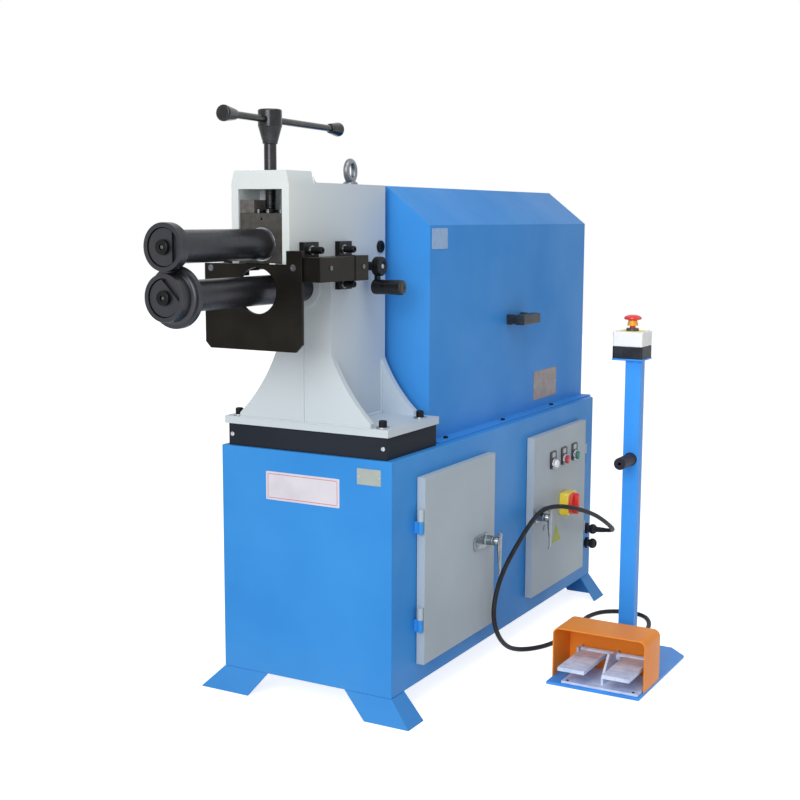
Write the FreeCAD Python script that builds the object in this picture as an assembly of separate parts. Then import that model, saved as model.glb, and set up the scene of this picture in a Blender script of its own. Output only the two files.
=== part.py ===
import FreeCAD, Part
import math
import os

# Electric bead roller, millimetres.  X runs across the machine with the doors on the +X side,
# Y runs back from the cabinet's front face and Z is up from the floor.  At the end everything is
# moved so that the origin lies under the middle of the machine, on the floor.

V = FreeCAD.Vector
UP = V(0, 0, 1)
BACK = V(0, 1, 0)
RIGHT = V(1, 0, 0)

# General fits and sheet gauges
FIT = 0.05              # radial clearance of a part that sits or turns on a shaft
SLIDE_GAP = 0.3         # clearance of flat slides and of parts that pass each other
HOLE_GAP = 0.2          # clearance of a stud in its hole
SHEET = 4.0             # cabinet sheet
THIN_SHEET = 2.0        # cover and door sheet

# Cabinet
CAB_W = 450.0
CAB_L = 1235.0
CAB_FOOT_H = 62.0
CAB_H = 528.0
CAB_CUT_X = 32.0
CAB_CUT_Y = 48.0
FOOT_SHEET = 5.0
FOOT_LEN_X = 121.0      # length of a foot's front plate at the top
FOOT_LEN_Y = 60.0
FOOT_SPREAD_L = 68.0    # how far the left feet splay out at the floor
FOOT_SPREAD_R = 47.0
FOOT_SPREAD_IN = 54.0   # how far a foot's inner end moves out at the floor
FOOT_SPREAD_Y = 6.0
CHAIN_SLOT_X = 150.0
CHAIN_SLOT_Y = 34.0

# Heights of the two shafts' axes
LOWER_Z = 957.0
CENTRES = 95.0
UPPER_Z = LOWER_Z + CENTRES

# Riser box and machine frame
RISER_X = 418.0
RISER_Y0 = 7.0
RISER_L = 226.0
RISER_H = 51.0
RISER_WALL = 12.0
FLANGE_X = 430.0
FLANGE_T = 17.0
COL_X = 144.0
COL_L = 235.0
COVER_GAP = 27.0        # between the column and the cover
COVER_Y0 = COL_L + COVER_GAP
COL_WALL = 17.5
COL_FRONT_T = 16.0
FLARE_TOP = 154.0       # height over the flange at which the front plate starts to widen
FLARE_REACH = 100.0     # widening of the front plate at the flange
REAR_FLARE_TOP = 130.0
REAR_FLARE_REACH = 86.0
RIB_W = 6.0
HEAD_FRONT_Y = -157.0
HEAD_DROP = 40.0        # of the head's underside below the upper shaft's axis
HEAD_H = 168.0
HEAD_BOTTOM_Z = UPPER_Z - HEAD_DROP
HEAD_TOP_Z = HEAD_BOTTOM_Z + HEAD_H
PAD_H = 23.0
PAD_REAR_Y = -63.0
PAD_FOOT_R = 12.0
HEAD_EDGE = 7.0
WINDOW_TOP_Z = HEAD_TOP_Z - 15.0
WINDOW_DEPTH = 77.0
WEB_T = 16.0
WEB_SLOT_W = 76.0
WEB_SLOT_TOP_Z = UPPER_Z + 60.0
RIB_END_GAP = 130.0     # from the head's underside down to the rib's upper end
REAR_HOLE_R = 42.0      # clears the upper shaft behind the column, also lifted
REAR_HOLE_UP = 3.0      # of that hole's middle above the shaft's axis

# Shafts, gears and chain
UPPER_R = 32.0
UPPER_REAR_R = 30.0
LOWER_R = 30.75
JOURNAL_R = 25.0
NOSE_R = 22.0
ROLL_FRONT_Y = -470.0
UPPER_HUB_REAR_Y = -425.0
LOWER_HUB_REAR_Y = -395.0
JOURNAL_FRONT_Y = COVER_Y0 + 38.0
BUSH_R = 40.0
BUSH_FLANGE_R = 46.0
BUSH_FLANGE_T = 4.0
BUSH_LEN = 20.0
GEAR_TEETH = 19
GEAR_MODULE = 5.0
GEAR_BACKLASH = 0.85
GEAR_Y0 = JOURNAL_FRONT_Y + 30.0
GEAR_W = 40.0
STAND_Y0 = GEAR_Y0 + 55.0
STAND_T = 30.0
STAND_W = 150.0
STAND_FOOT_W = 220.0
STAND_FOOT_L = 68.0
STAND_FOOT_T = 20.0
BALL_R = 44.0
PIVOT_Y = STAND_Y0 + STAND_T / 2
CHAIN_PITCH = 19.05
CHAIN_Y = STAND_Y0 + 55.0
CHAIN_INNER_W = 12.6
CHAIN_PLATE_T = 3.5
CHAIN_PLATE_H = 16.0
CHAIN_ROLLER_R = 6.0
SPROCKET_W = 11.0
DRIVEN_TEETH = 30
DRIVER_TEETH = 15
MOTOR_AXIS_Z = 420.0
CHAIN_END_GAP = 60.0     # from a sprocket to the first roller drawn on a straight run
CHAIN_HUB_W = 28.0
SPROCKET_ADD = 5.0
SHAFT_REAR_Y = CHAIN_Y + 30.0

# Rolls
ROLL_R = 46.0
UPPER_RIM_W = 23.0
UPPER_HUB_R = 33.0
UPPER_FILLET = 7.0
LOWER_FLANGE_R = 60.0
LOWER_FLANGE_FRONT = 31.0
LOWER_FLANGE_W = 12.0
LOWER_FILLET = 8.0
LOWER_HUB_R = 33.5
RECESS_R = 37.0
RECESS_D = 9.0
WASHER_R = 35.5
WASHER_T = 6.0
WASHER_FLAT = 20.0
CLAMP_HEAD_R = 14.5
CLAMP_HEAD_H = 8.0
CLAMP_STUD_R = 8.0
CLAMP_STUD_L = 40.0
CLAMP_KEY = 10.0

# Bearing block in the head's window
WINDOW_X = COL_X - 2 * COL_WALL
BLOCK_FRONT_Y = -152.0
BLOCK_L = 68.0
BLOCK_BOTTOM_Z = HEAD_BOTTOM_Z + 1.0
BLOCK_TOP_Z = UPPER_Z + 64.0
RING_R = 35.0
RING_PROUD = 1.0
GIB_W = 36.0
GIB_H = 27.0
BLOCK_BOLT_R = 4.5
BLOCK_BOLT_H = 8.0
OIL_HOLE_R = 2.5

# Pressure screw
SCREW_Y = -118.0
SCREW_R = 12.0
STEM_R = 13.0
STEM_TOP_Z = HEAD_TOP_Z + 82.0
HUB_R = 25.0
HUB_Z0 = STEM_TOP_Z + 30.0
HUB_H = 36.0
SWIVEL_R = 16.5
SWIVEL_H = 8.0
SWIVEL_DOME = 1.2
SWIVEL_FLAT_R = 4.0
SWIVEL_PIN_R = 8.0
TOMMY_Z = HUB_Z0 + 15.0
TOMMY_R = 7.0
TOMMY_FRONT = 193.0
TOMMY_REAR = 332.0
TOMMY_TURN = 6.8        # degrees from the machine's length
KNOB_R = 16.0
KNOB_NECK_R = 11.0
KNOB_L = 46.0

# Axial adjusting lever of the lower shaft
LEVER_Y = 147.0
LEVER_Z = LOWER_Z + 43.0
LEVER_SHAFT_R = 10.0
LEVER_HUB_R = 21.5
LEVER_HUB_X0 = 98.0
LEVER_HUB_W = 19.0
LEVER_ARM_W = 16.0
LEVER_ARM_T = 8.0
LEVER_DROP = 46.0
GRIP_R = 17.0
GRIP_X0 = 92.0
GRIP_L = 76.0
GRIP_SHIFT_Y = 3.0
ECCENTRIC = 3.3
ECC_PIN_R = 4.0
ECC_GAP = 0.45
SHOE_W = 20.0
GROOVE_R = 26.0
SHOE_R = 32.4
TONGUE_W = 18.0
TONGUE_TOP_Z = LEVER_Z + 14.0

# Guide plate, its bar and brackets
GUIDE_FRONT_Y = -171.0
GUIDE_T = 8.0
GUIDE_LEFT = -134.0
GUIDE_RIGHT = 111.0
GUIDE_TOP_Z = HEAD_BOTTOM_Z
GUIDE_EAR_TOP_Z = GUIDE_TOP_Z + 28.0
GUIDE_EAR_X = 73.0
GUIDE_H = 179.0
GUIDE_BOTTOM_Z = GUIDE_TOP_Z - GUIDE_H
GUIDE_CUT = 13.0
GUIDE_HOLE_R = 48.0
RAIL_REAR_Y = 69.0
BAR_X0 = 104.0
BAR_W = 46.0
BAR_Z0 = LOWER_Z + 20.0
BAR_H = 50.0
BAR_REAR_Y = RAIL_REAR_Y - 43.0
CAP_L = 53.0
CAP_PROUD = 1.5
LUG_X0 = 76.0
LUG_T = 15.0
LUG_SCREW_X = 90.0
LUG_SCREW_UP = 4.0
RAIL_X0 = 84.0
RAIL_WEB_H = 18.0
RAIL_HEAD_W = 6.0
RAIL_HEAD_H = 30.0
RAIL_HEAD_IN = 2.0
RAIL_Y0 = -121.0
BRACKET_L = 57.0
BRACKET_REAR_L = 51.0
BRACKET_TOP_Z = BAR_Z0 + 80.0
BRACKET_FRONT_Z0 = BAR_Z0
BRACKET_REAR_Z0 = BAR_Z0 - 24.0
BRACKET_SCREW_R = 7.5
BRACKET_SCREW_L = 25.0
BRACKET_SHANK_R = 5.0
BRACKET_KEY_R = 3.5
BRACKET_KEY_D = 6.0
BRACKET_SCREW_DOWN = 17.0   # of the upper screws below the bracket's top
BRACKET_SCREW_UP = 12.0     # of the lower screw above the rear bracket's foot
BRACKET_SCREW_FRONT_Y = 28.0
BRACKET_SCREW_REAR_Y = 17.0
BRACKET_WASHER_R = 9.5
BRACKET_WASHER_T = 3.0
LEFT_ROD_X = -118.0
LEFT_ROD_R = 10.0
LEFT_ROD_REAR_Y = 30.0
LEFT_BRACKET_Y0 = -100.0
LEFT_BRACKET_L = 40.0
LEFT_BRACKET_H = 40.0
LEFT_BRACKET_STEP = 12.0
CSK_R = 7.0
CSK_H = 4.0
CSK_L = 18.0
MARK_SCREW_R = 5.0      # screws on the bar's side
MARK_SCREW_H = 2.0
MARK_SCREW_UP = 3.0
MARK_SCREW_REAR = 21.0

# Plain plates: two on the cabinet's front (x0, x1 and drops below the cabinet's top), and on the
# cover's side a label and a plate (y0, y1 from its front, drops below its eaves or heights)
NAME_PLATE = (-102.0, 93.0, 115.0, 50.0)
SMALL_PLATE = (138.0, 198.0, 56.0, 20.0)
COVER_LABEL = (10.0, 87.0, 55.0, 7.0)
SPEC_PLATE = (605.0, 763.0, 25.0, 104.0)
PLATE_T = 1.0

# Small fittings
BOLT_R = 9.0
BOLT_HEAD_H = 14.0
BOLT_WASHER_R = 15.0
BOLT_WASHER_T = 3.0
BOLT_SHANK_R = 6.0
BOLT_X = 190.0
BOLT_Y = (22.0, COL_L - 45.0)
PANEL_SCREW_R = 5.0
PANEL_SCREW_H = 3.0
PANEL_SHANK_R = 3.0
PANEL_SHANK_L = 8.0
RISER_SCREW_IN = 10.0    # of the riser's screws from its ends
PLUG_R = 14.0
PLUG_T = 6.0
PLUG_Y = COL_L - 25.0
PLUG_Z = LOWER_Z + 85.0
EYE_Y = COL_L - 35.0
EYE_RING_R = 21.5
EYE_WIRE_R = 7.0
EYE_COLLAR_R = 17.0
EYE_COLLAR_H = 8.0
EYE_SHANK_R = 8.0

# Cover over the gears
COVER_X = 348.0
COVER_REAR_GAP = 13.0    # to the cabinet's rear edge
COVER_L = CAB_L - COVER_REAR_GAP - COVER_Y0
COVER_TOP_Z = HEAD_TOP_Z
COVER_SLOPE_H = 89.0
COVER_EAVES_Z = COVER_TOP_Z - COVER_SLOPE_H
COVER_RIDGE_X = 120.0
COVER_HOLE_GAP = 6.0    # around the shafts in the cover's front
COVER_FLANGE_X = 408.0
COVER_FLANGE_T = 3.0
COVER_SCREW_STEP = 320.0
COVER_SCREW_FIRST = 58.0    # of the first screw from the cover's front
HANDLE_Y0 = 686.0
HANDLE_L = 104.0
HANDLE_Z = 848.0
HANDLE_R = 13.0
HANDLE_OUT = 50.0
HANDLE_FOOT = 22.0

# Doors, hinges and latches
DOOR_X0 = 226.0
DOOR_T = 20.0
DOOR_Z0 = 110.0
DOOR_H = 429.0
DOOR1_Y0 = 112.0
DOOR1_L = 364.0
DOOR2_L = 367.0
DOOR2_REAR = 154.0      # of its rear edge from the cabinet's rear face
DOOR2_Y0 = CAB_L - DOOR2_REAR - DOOR2_L
DOOR_LAP = 15.0
HINGE_R = 6.5
HINGE_PIN_R = 3.5
HINGE_H = 56.0
HINGE_LEAF_T = 4.0
HINGE_OUT = 8.0
HINGE_X = 240.0
HINGE_Z = (188.0, 413.0)
HINGE_GAP = 0.5
LATCH_OUT = 33.0
LATCH_LEVER_T = 9.0
LATCH_LEVER_W = 18.0
LATCH_BOSS_R = 12.0
LATCH_SPINDLE_R = 7.0
LATCH_PLATE_T = 4.0
LATCH_PLATE_H = 34.0
LATCH_UP = 20.0
LATCH_DOWN = 84.0
LATCH1 = (425.0, 332.0)
LATCH2 = (DOOR2_Y0 + 24.0, 327.0)
LATCH_PLATE_L = 66.0
LATCH_BOSS_L = 24.0
LATCH_TONGUE_BACK = 12.0
LATCH_TONGUE_T = 4.0
LATCH_TONGUE_UP = 46.0

# Controls on the rear door
CONTROL_STEP = 76.0
CONTROL_FIRST = 128.0    # of the lamp from the door's front edge
CONTROL_Z = 464.0
LEGEND_W = 40.0
LEGEND_H = 48.0
LEGEND_T = 3.0
BUTTON_DROP = 12.0
BEZEL_R = 15.0
BEZEL_T = 6.0
BUTTON_R = 11.5
BUTTON_OUT = 9.0
BUTTON_TRAVEL = 4.0
BUTTON_STEM_R = 8.0
ISOLATOR_Y0 = DOOR2_Y0 + 179.0
ISOLATOR_L = 62.0
ISOLATOR_Z0 = 299.0
ISOLATOR_H = 62.0
ISOLATOR_T = 26.0
ISOLATOR_KNOB_R = 30.0
ISOLATOR_KNOB_T = 8.0
ISOLATOR_GRIP_W = 16.0
ISOLATOR_GRIP_H = 12.0
LOCK_R = 8.0
LOCK_Y = DOOR2_Y0 + 79.0
LOCK_Z = 284.0
WARN_Y = DOOR2_Y0 + 161.0
WARN_Z = 230.0
WARN_SIDE = 58.0
WARN_H = 49.0

# Cable glands
GLAND_R = 11.0
GLAND_NUT_R = 14.0
GLAND_NUT_T = 8.0
GLAND_L = 32.0
GLAND_REAR = 81.0       # of the glands from the cabinet's rear face
GLAND_UPPER = (CAB_L - GLAND_REAR, 206.0)
GLAND_LOWER = (CAB_L - GLAND_REAR, 163.0)
CABLE_R = 6.0
INLET_BORE_R = 7.0

# Drive and switchgear in the cabinet
BED_X = 230.0
BED_Y0 = CHAIN_Y + 15.0
BED_L = 440.0
BED_T = 12.0
BED_LEG = 40.0
GEARBOX_X = 160.0
GEARBOX_Y0 = CHAIN_Y + 30.0
GEARBOX_L = 170.0
GEARBOX_H = 180.0
MOTOR_R = 80.0
MOTOR_L = 230.0
MOTOR_FIN = 6.0
MOTOR_FLANGE_L = 12.0
FAN_COWL_L = 50.0
TERMINAL_BOX = (90.0, 90.0, 110.0)
TERMINAL_Y = 60.0
DRIVE_SHAFT_IN = 30.0
DRIVE_SHAFT_R = 17.5
SWITCH_Y0 = 730.0
SWITCH_L = 340.0
SWITCH_Z0 = 130.0
SWITCH_H = 380.0
SWITCH_T = 3.0
CONTACTOR = (70.0, 48.0, 80.0)
CONTACTOR_GAP = 12.0
CONTACTOR_Y = 60.0      # of the first contactor from the plate's edge
CONTACTOR_UP = 220.0

# Pedestal with the emergency stop and the two pedals
PED_X = 532.0
PED_Y = 612.0
PED_W = 232.0
PED_L = 392.0
PED_T = 8.0
PED_CUT = 46.0
POST_X = 40.0
POST_Y = 30.0
POST_WALL = 3.0
POST_FRONT_Y = 650.0
POST_TOP_Z = 765.0
POST_SEAT_T = 5.0
POST_SHIFT_X = 12.0     # of the post from the station's middle
POST_GLAND_Z = 38.0
POST_GLAND_R = 9.0
POST_GLAND_L = 24.0
STATION_X0 = 480.0
STATION_W = 76.0
STATION_Y0 = 636.0
STATION_L = 76.0
STATION_BASE_H = 29.0
STATION_LID_H = 36.0
STATION_WALL = 3.0
COLLAR_R = 16.0
COLLAR_H = 8.0
STOP_NECK_R = 13.0
STOP_NECK_H = 14.0
MUSHROOM_R = 21.5
MUSHROOM_H = 12.0
MUSHROOM_TRAVEL = 5.0
STOP_STEM_R = 7.0
PEG_R = 14.0
PEG_L = 78.0
PEG_Z = 522.0
PEG_BORE_R = 4.0
PEG_BORE_L = 40.0
GUARD_Y0 = 452.0
GUARD_L = 110.0
GUARD_H = 123.0
GUARD_T = 3.0
GUARD_BEND = 16.0
PEDAL_W = 66.0
PEDAL_GAP = 44.0
PEDAL_FRONT_Y = 378.0
PEDAL_L = 138.0
PEDAL_T = 9.0
PEDAL_TOP_Z = 62.0
PEDAL_PIN_R = 5.0
CASTING_T = 6.0
CASTING_BACK_H = 50.0
CASTING_BACK_L = 34.0
LUG_W = 5.0
FIN_T = 6.0
FIN_H = 70.0
FIN_FRONT_H = 22.0
FIN_FRONT_Y = 24.0      # of its front from the base plate's edge
FIN_PEAK_Y = 66.0       # of its highest point from the base plate's edge
PEDAL_SHIFT_X = 16.0
PEDAL_BOSS_R = 12.0
PEDAL_BOSS_H = 12.0
CASTING_IN = 4.0

parts = {}


def box(x0, x1, y0, y1, z0, z1):
    return Part.makeBox(x1 - x0, y1 - y0, z1 - z0, V(x0, y0, z0))


def rod_x(y, z, x0, x1, r):
    return Part.makeCylinder(r, x1 - x0, V(x0, y, z), RIGHT)


def rod_y(x, z, y0, y1, r):
    return Part.makeCylinder(r, y1 - y0, V(x, y0, z), BACK)


def rod_z(x, y, z0, z1, r):
    return Part.makeCylinder(r, z1 - z0, V(x, y, z0), UP)


def prism(points, run):
    """Solid from a closed outline of 3-D points and the vector along which it is drawn out."""
    wire = Part.makePolygon(points + [points[0]])
    return Part.Face(wire).extrude(run)


def turned_y(x, z, profile):
    """Body of revolution about an axis along Y from (y, radius) points."""
    points = [V(x + r, y, z) for y, r in profile]
    face = Part.Face(Part.makePolygon(points + [points[0]]))
    return face.revolve(V(x, 0, z), BACK, 360)


def key_socket_y(x, z, y0, y1, flats):
    """Hexagonal key socket along Y."""
    corner = flats / math.sqrt(3)
    ring = [V(x + corner * math.cos(k * math.pi / 3), y0, z + corner * math.sin(k * math.pi / 3))
            for k in range(6)]
    return prism(ring, V(0, y1 - y0, 0))


def group(shapes):
    return Part.makeCompound(shapes)


# Cabinet: folded and welded sheet box with cut rear corners, two door openings on the +X side and
# a slot in its top for the drive chain.
cab_half = CAB_W / 2
cab_top = CAB_FOOT_H + CAB_H


def cabinet_plan(inset, z):
    slope = math.hypot(CAB_CUT_X, CAB_CUT_Y)
    nx = CAB_CUT_Y / slope
    ny = CAB_CUT_X / slope
    reach = nx * cab_half + ny * (CAB_L - CAB_CUT_Y) - inset
    half = cab_half - inset
    rear = CAB_L - inset
    cut_y = (reach - nx * half) / ny
    cut_x = (reach - ny * rear) / nx
    return [V(-half, inset, z), V(half, inset, z), V(half, cut_y, z), V(cut_x, rear, z),
            V(-cut_x, rear, z), V(-half, cut_y, z)]


cabinet = prism(cabinet_plan(0, CAB_FOOT_H), V(0, 0, CAB_H))
cabinet = cabinet.cut(prism(cabinet_plan(SHEET, CAB_FOOT_H + SHEET), V(0, 0, CAB_H - 2 * SHEET)))
for door_y0, door_l in ((DOOR1_Y0, DOOR1_L), (DOOR2_Y0, DOOR2_L)):
    opening = box(cab_half - 2 * SHEET, cab_half + SHEET, door_y0 + DOOR_LAP,
                  door_y0 + door_l - DOOR_LAP, DOOR_Z0 + DOOR_LAP, DOOR_Z0 + DOOR_H - DOOR_LAP)
    cabinet = cabinet.cut(opening)
chain_slot = box(-CHAIN_SLOT_X / 2, CHAIN_SLOT_X / 2, CHAIN_Y - CHAIN_SLOT_Y / 2,
                 CHAIN_Y + CHAIN_SLOT_Y / 2, cab_top - 2 * SHEET, cab_top + SHEET)
cabinet = cabinet.cut(chain_slot)
for gland_y, gland_z in (GLAND_UPPER, GLAND_LOWER):
    cabinet = cabinet.cut(rod_x(gland_y, gland_z, cab_half - 2 * SHEET, cab_half + SHEET,
                                GLAND_R + HOLE_GAP))
parts["cabinet"] = cabinet

# Feet: angle skirts that splay out towards the floor
z_top = CAB_FOOT_H
z_floor = 0.0


def foot(side, spread, front):
    """Folded skirt from the cabinet's bottom to the floor; side is +1 or -1."""
    t = FOOT_SHEET
    outer_top = cab_half
    outer_low = cab_half + spread
    inner_top = cab_half - FOOT_LEN_X
    inner_low = inner_top + FOOT_SPREAD_IN
    if front:
        y_top = 0.0
        y_low = -FOOT_SPREAD_Y
        run = 1
    else:
        y_top = CAB_L - CAB_CUT_Y
        y_low = y_top + FOOT_SPREAD_Y
        run = -1
    reach_top = y_top + run * FOOT_LEN_Y
    reach_low = y_low + run * (FOOT_LEN_Y + 2 * FOOT_SPREAD_Y)
    top = [(inner_top, y_top), (outer_top, y_top), (outer_top, reach_top),
           (outer_top - t, reach_top), (outer_top - t, y_top + run * t), (inner_top, y_top + run * t)]
    low = [(inner_low, y_low), (outer_low, y_low), (outer_low, reach_low),
           (outer_low - t, reach_low), (outer_low - t, y_low + run * t), (inner_low, y_low + run * t)]
    wires = []
    for outline, z in ((low, z_floor), (top, z_top)):
        corners = [V(side * x, y, z) for x, y in outline]
        wires.append(Part.makePolygon(corners + [corners[0]]))
    return Part.makeLoft(wires, True, True)


parts["cabinet_feet"] = group([foot(1, FOOT_SPREAD_R, True), foot(-1, FOOT_SPREAD_L, True),
                               foot(1, FOOT_SPREAD_R, False), foot(-1, FOOT_SPREAD_L, False)])

# Riser box between the cabinet and the machine frame
riser_top = cab_top + RISER_H
riser_rear = RISER_Y0 + RISER_L
riser = box(-RISER_X / 2, RISER_X / 2, RISER_Y0, riser_rear, cab_top, riser_top)
riser = riser.cut(box(-RISER_X / 2 + RISER_WALL, RISER_X / 2 - RISER_WALL, RISER_Y0 + RISER_WALL,
                      riser_rear - RISER_WALL, cab_top, riser_top - RISER_WALL))
for sx in (-1, 1):
    riser = riser.cut(rod_y(sx * (RISER_X / 2 - RISER_SCREW_IN), cab_top + RISER_H / 2, RISER_Y0,
                            RISER_Y0 + PANEL_SHANK_L + HOLE_GAP, PANEL_SHANK_R + HOLE_GAP))
    for bolt_y in BOLT_Y:
        riser = riser.cut(rod_z(sx * BOLT_X, bolt_y, riser_top - RISER_WALL - 1, riser_top + 1,
                                BOLT_SHANK_R + HOLE_GAP))
parts["riser_box"] = riser

# Machine frame: flange, hollow column and the overhanging head with its window
flange_top = riser_top + FLANGE_T
col_half = COL_X / 2
inner_half = col_half - COL_WALL
web_front = HEAD_FRONT_Y + WINDOW_DEPTH


def flared_plate(y0, y1, rise, reach):
    """Upright plate of the column whose foot widens towards the flange in a gentle curve."""
    z0 = flange_top
    x1 = col_half + reach
    outline = [Part.makeLine(V(-x1, y0, z0), V(x1, y0, z0))]
    outline.append(Part.makeLine(V(x1, y0, z0), V(x1, y0, z0 + 10)))
    bend_x = col_half + 0.3 * reach
    bend_z = z0 + 0.62 * rise
    outline.append(Part.Arc(V(x1, y0, z0 + 10), V(bend_x, y0, bend_z),
                            V(col_half, y0, z0 + rise)).toShape())
    outline.append(Part.makeLine(V(col_half, y0, z0 + rise), V(col_half, y0, HEAD_BOTTOM_Z)))
    outline.append(Part.makeLine(V(col_half, y0, HEAD_BOTTOM_Z), V(-col_half, y0, HEAD_BOTTOM_Z)))
    outline.append(Part.makeLine(V(-col_half, y0, HEAD_BOTTOM_Z), V(-col_half, y0, z0 + rise)))
    outline.append(Part.Arc(V(-col_half, y0, z0 + rise), V(-bend_x, y0, bend_z),
                            V(-x1, y0, z0 + 10)).toShape())
    outline.append(Part.makeLine(V(-x1, y0, z0 + 10), V(-x1, y0, z0)))
    return Part.Face(Part.Wire(outline)).extrude(V(0, y1 - y0, 0))


flange = box(-FLANGE_X / 2, FLANGE_X / 2, 0, COL_L, riser_top, flange_top)
column = box(-col_half, col_half, 0, COL_L, flange_top, HEAD_BOTTOM_Z)
front_plate = flared_plate(0, COL_FRONT_T, FLARE_TOP, FLARE_REACH)
rear_plate = flared_plate(COL_L - COL_FRONT_T, COL_L, REAR_FLARE_TOP, REAR_FLARE_REACH)
pad_top = HEAD_TOP_Z + PAD_H
foot_y = PAD_REAR_Y + PAD_FOOT_R
foot_z = HEAD_TOP_Z + PAD_FOOT_R
diagonal = PAD_FOOT_R * math.sqrt(0.5)
side_edges = [
    Part.makeLine(V(-col_half, HEAD_FRONT_Y, HEAD_BOTTOM_Z), V(-col_half, HEAD_FRONT_Y, pad_top)),
    Part.makeLine(V(-col_half, HEAD_FRONT_Y, pad_top), V(-col_half, PAD_REAR_Y, pad_top)),
    Part.makeLine(V(-col_half, PAD_REAR_Y, pad_top), V(-col_half, PAD_REAR_Y, foot_z)),
    Part.Arc(V(-col_half, PAD_REAR_Y, foot_z),
             V(-col_half, foot_y - diagonal, foot_z - diagonal),
             V(-col_half, foot_y, HEAD_TOP_Z)).toShape(),
    Part.makeLine(V(-col_half, foot_y, HEAD_TOP_Z), V(-col_half, COL_L, HEAD_TOP_Z)),
    Part.makeLine(V(-col_half, COL_L, HEAD_TOP_Z), V(-col_half, COL_L, HEAD_BOTTOM_Z)),
    Part.makeLine(V(-col_half, COL_L, HEAD_BOTTOM_Z), V(-col_half, HEAD_FRONT_Y, HEAD_BOTTOM_Z))]
head = Part.Face(Part.Wire(side_edges)).extrude(V(COL_X, 0, 0))
for sx in (-1, 1):
    edge_cut = prism([V(sx * col_half, HEAD_FRONT_Y, pad_top),
                      V(sx * (col_half - HEAD_EDGE), HEAD_FRONT_Y, pad_top),
                      V(sx * col_half, HEAD_FRONT_Y, pad_top - 4 * HEAD_EDGE)],
                     V(0, PAD_REAR_Y - HEAD_FRONT_Y, 0))
    head = head.cut(edge_cut)
frame = head.fuse([column, flange, front_plate, rear_plate])
frame = frame.fuse(box(-RIB_W / 2, RIB_W / 2, -RIB_W / 2, 0, flange_top,
                       HEAD_BOTTOM_Z - RIB_END_GAP))
frame = frame.cut(box(-inner_half, inner_half, COL_FRONT_T, COL_L - COL_FRONT_T, riser_top,
                      WINDOW_TOP_Z))
frame = frame.cut(box(-inner_half, inner_half, HEAD_FRONT_Y, web_front, HEAD_BOTTOM_Z,
                      WINDOW_TOP_Z))
frame = frame.cut(box(-inner_half, inner_half, web_front + WEB_T, COL_FRONT_T, HEAD_BOTTOM_Z,
                      WINDOW_TOP_Z))
frame = frame.cut(box(-WEB_SLOT_W / 2, WEB_SLOT_W / 2, web_front, web_front + WEB_T,
                      HEAD_BOTTOM_Z, WEB_SLOT_TOP_Z))
frame = frame.cut(rod_z(0, SCREW_Y, WINDOW_TOP_Z, pad_top, SCREW_R + HOLE_GAP))
frame = frame.cut(rod_y(0, LOWER_Z, -RIB_W, COL_L, BUSH_R + FIT))
frame = frame.cut(rod_y(0, UPPER_Z + REAR_HOLE_UP, COL_L - COL_FRONT_T, COL_L, REAR_HOLE_R))
frame = frame.cut(rod_x(LEVER_Y, LEVER_Z, inner_half, col_half, LEVER_SHAFT_R + FIT))
frame = frame.cut(rod_x(PLUG_Y, PLUG_Z, inner_half, col_half, EYE_SHANK_R + HOLE_GAP))
frame = frame.cut(rod_z(0, EYE_Y, WINDOW_TOP_Z, HEAD_TOP_Z, EYE_SHANK_R + HOLE_GAP))
for sx in (-1, 1):
    for bolt_y in BOLT_Y:
        frame = frame.cut(rod_z(sx * BOLT_X, bolt_y, riser_top, flange_top,
                                BOLT_SHANK_R + HOLE_GAP))
bracket_rear_y0 = RAIL_REAR_Y - BRACKET_REAR_L
upper_screw_z = BRACKET_TOP_Z - BRACKET_SCREW_DOWN
rear_screw_y = bracket_rear_y0 + BRACKET_SCREW_REAR_Y
bracket_screws = [(RAIL_Y0 + BRACKET_SCREW_FRONT_Y, upper_screw_z), (rear_screw_y, upper_screw_z),
                  (rear_screw_y, BRACKET_REAR_Z0 + BRACKET_SCREW_UP)]
for screw_y, screw_z in bracket_screws:
    frame = frame.cut(rod_x(screw_y, screw_z, inner_half, col_half, BRACKET_SHANK_R + HOLE_GAP))
parts["frame"] = frame.removeSplitter()

# Four flange bolts with their washers
flange_bolts = []
for sx in (-1, 1):
    for bolt_y in BOLT_Y:
        washer_top = flange_top + BOLT_WASHER_T
        washer = rod_z(sx * BOLT_X, bolt_y, flange_top, washer_top, BOLT_WASHER_R)
        washer = washer.cut(rod_z(sx * BOLT_X, bolt_y, flange_top, washer_top,
                                  BOLT_SHANK_R + HOLE_GAP))
        bolt = rod_z(sx * BOLT_X, bolt_y, washer_top, washer_top + BOLT_HEAD_H, BOLT_R)
        bolt = bolt.fuse(rod_z(sx * BOLT_X, bolt_y, riser_top - RISER_WALL, washer_top,
                               BOLT_SHANK_R))
        bolt = bolt.cut(rod_z(sx * BOLT_X, bolt_y, washer_top + BOLT_HEAD_H / 2,
                              washer_top + BOLT_HEAD_H, BOLT_R / 2))
        flange_bolts += [bolt, washer]
parts["flange_bolts"] = group(flange_bolts)

# Lifting eye on the head's top
eye_centre_z = HEAD_TOP_Z + EYE_COLLAR_H + EYE_RING_R + EYE_WIRE_R - 4
eye = Part.makeTorus(EYE_RING_R, EYE_WIRE_R, V(0, EYE_Y, eye_centre_z), RIGHT)
eye = eye.fuse(rod_z(0, EYE_Y, HEAD_TOP_Z, HEAD_TOP_Z + EYE_COLLAR_H, EYE_COLLAR_R))
eye = eye.fuse(rod_z(0, EYE_Y, WINDOW_TOP_Z + 1, HEAD_TOP_Z, EYE_SHANK_R))
parts["eye_bolt"] = eye

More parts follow.
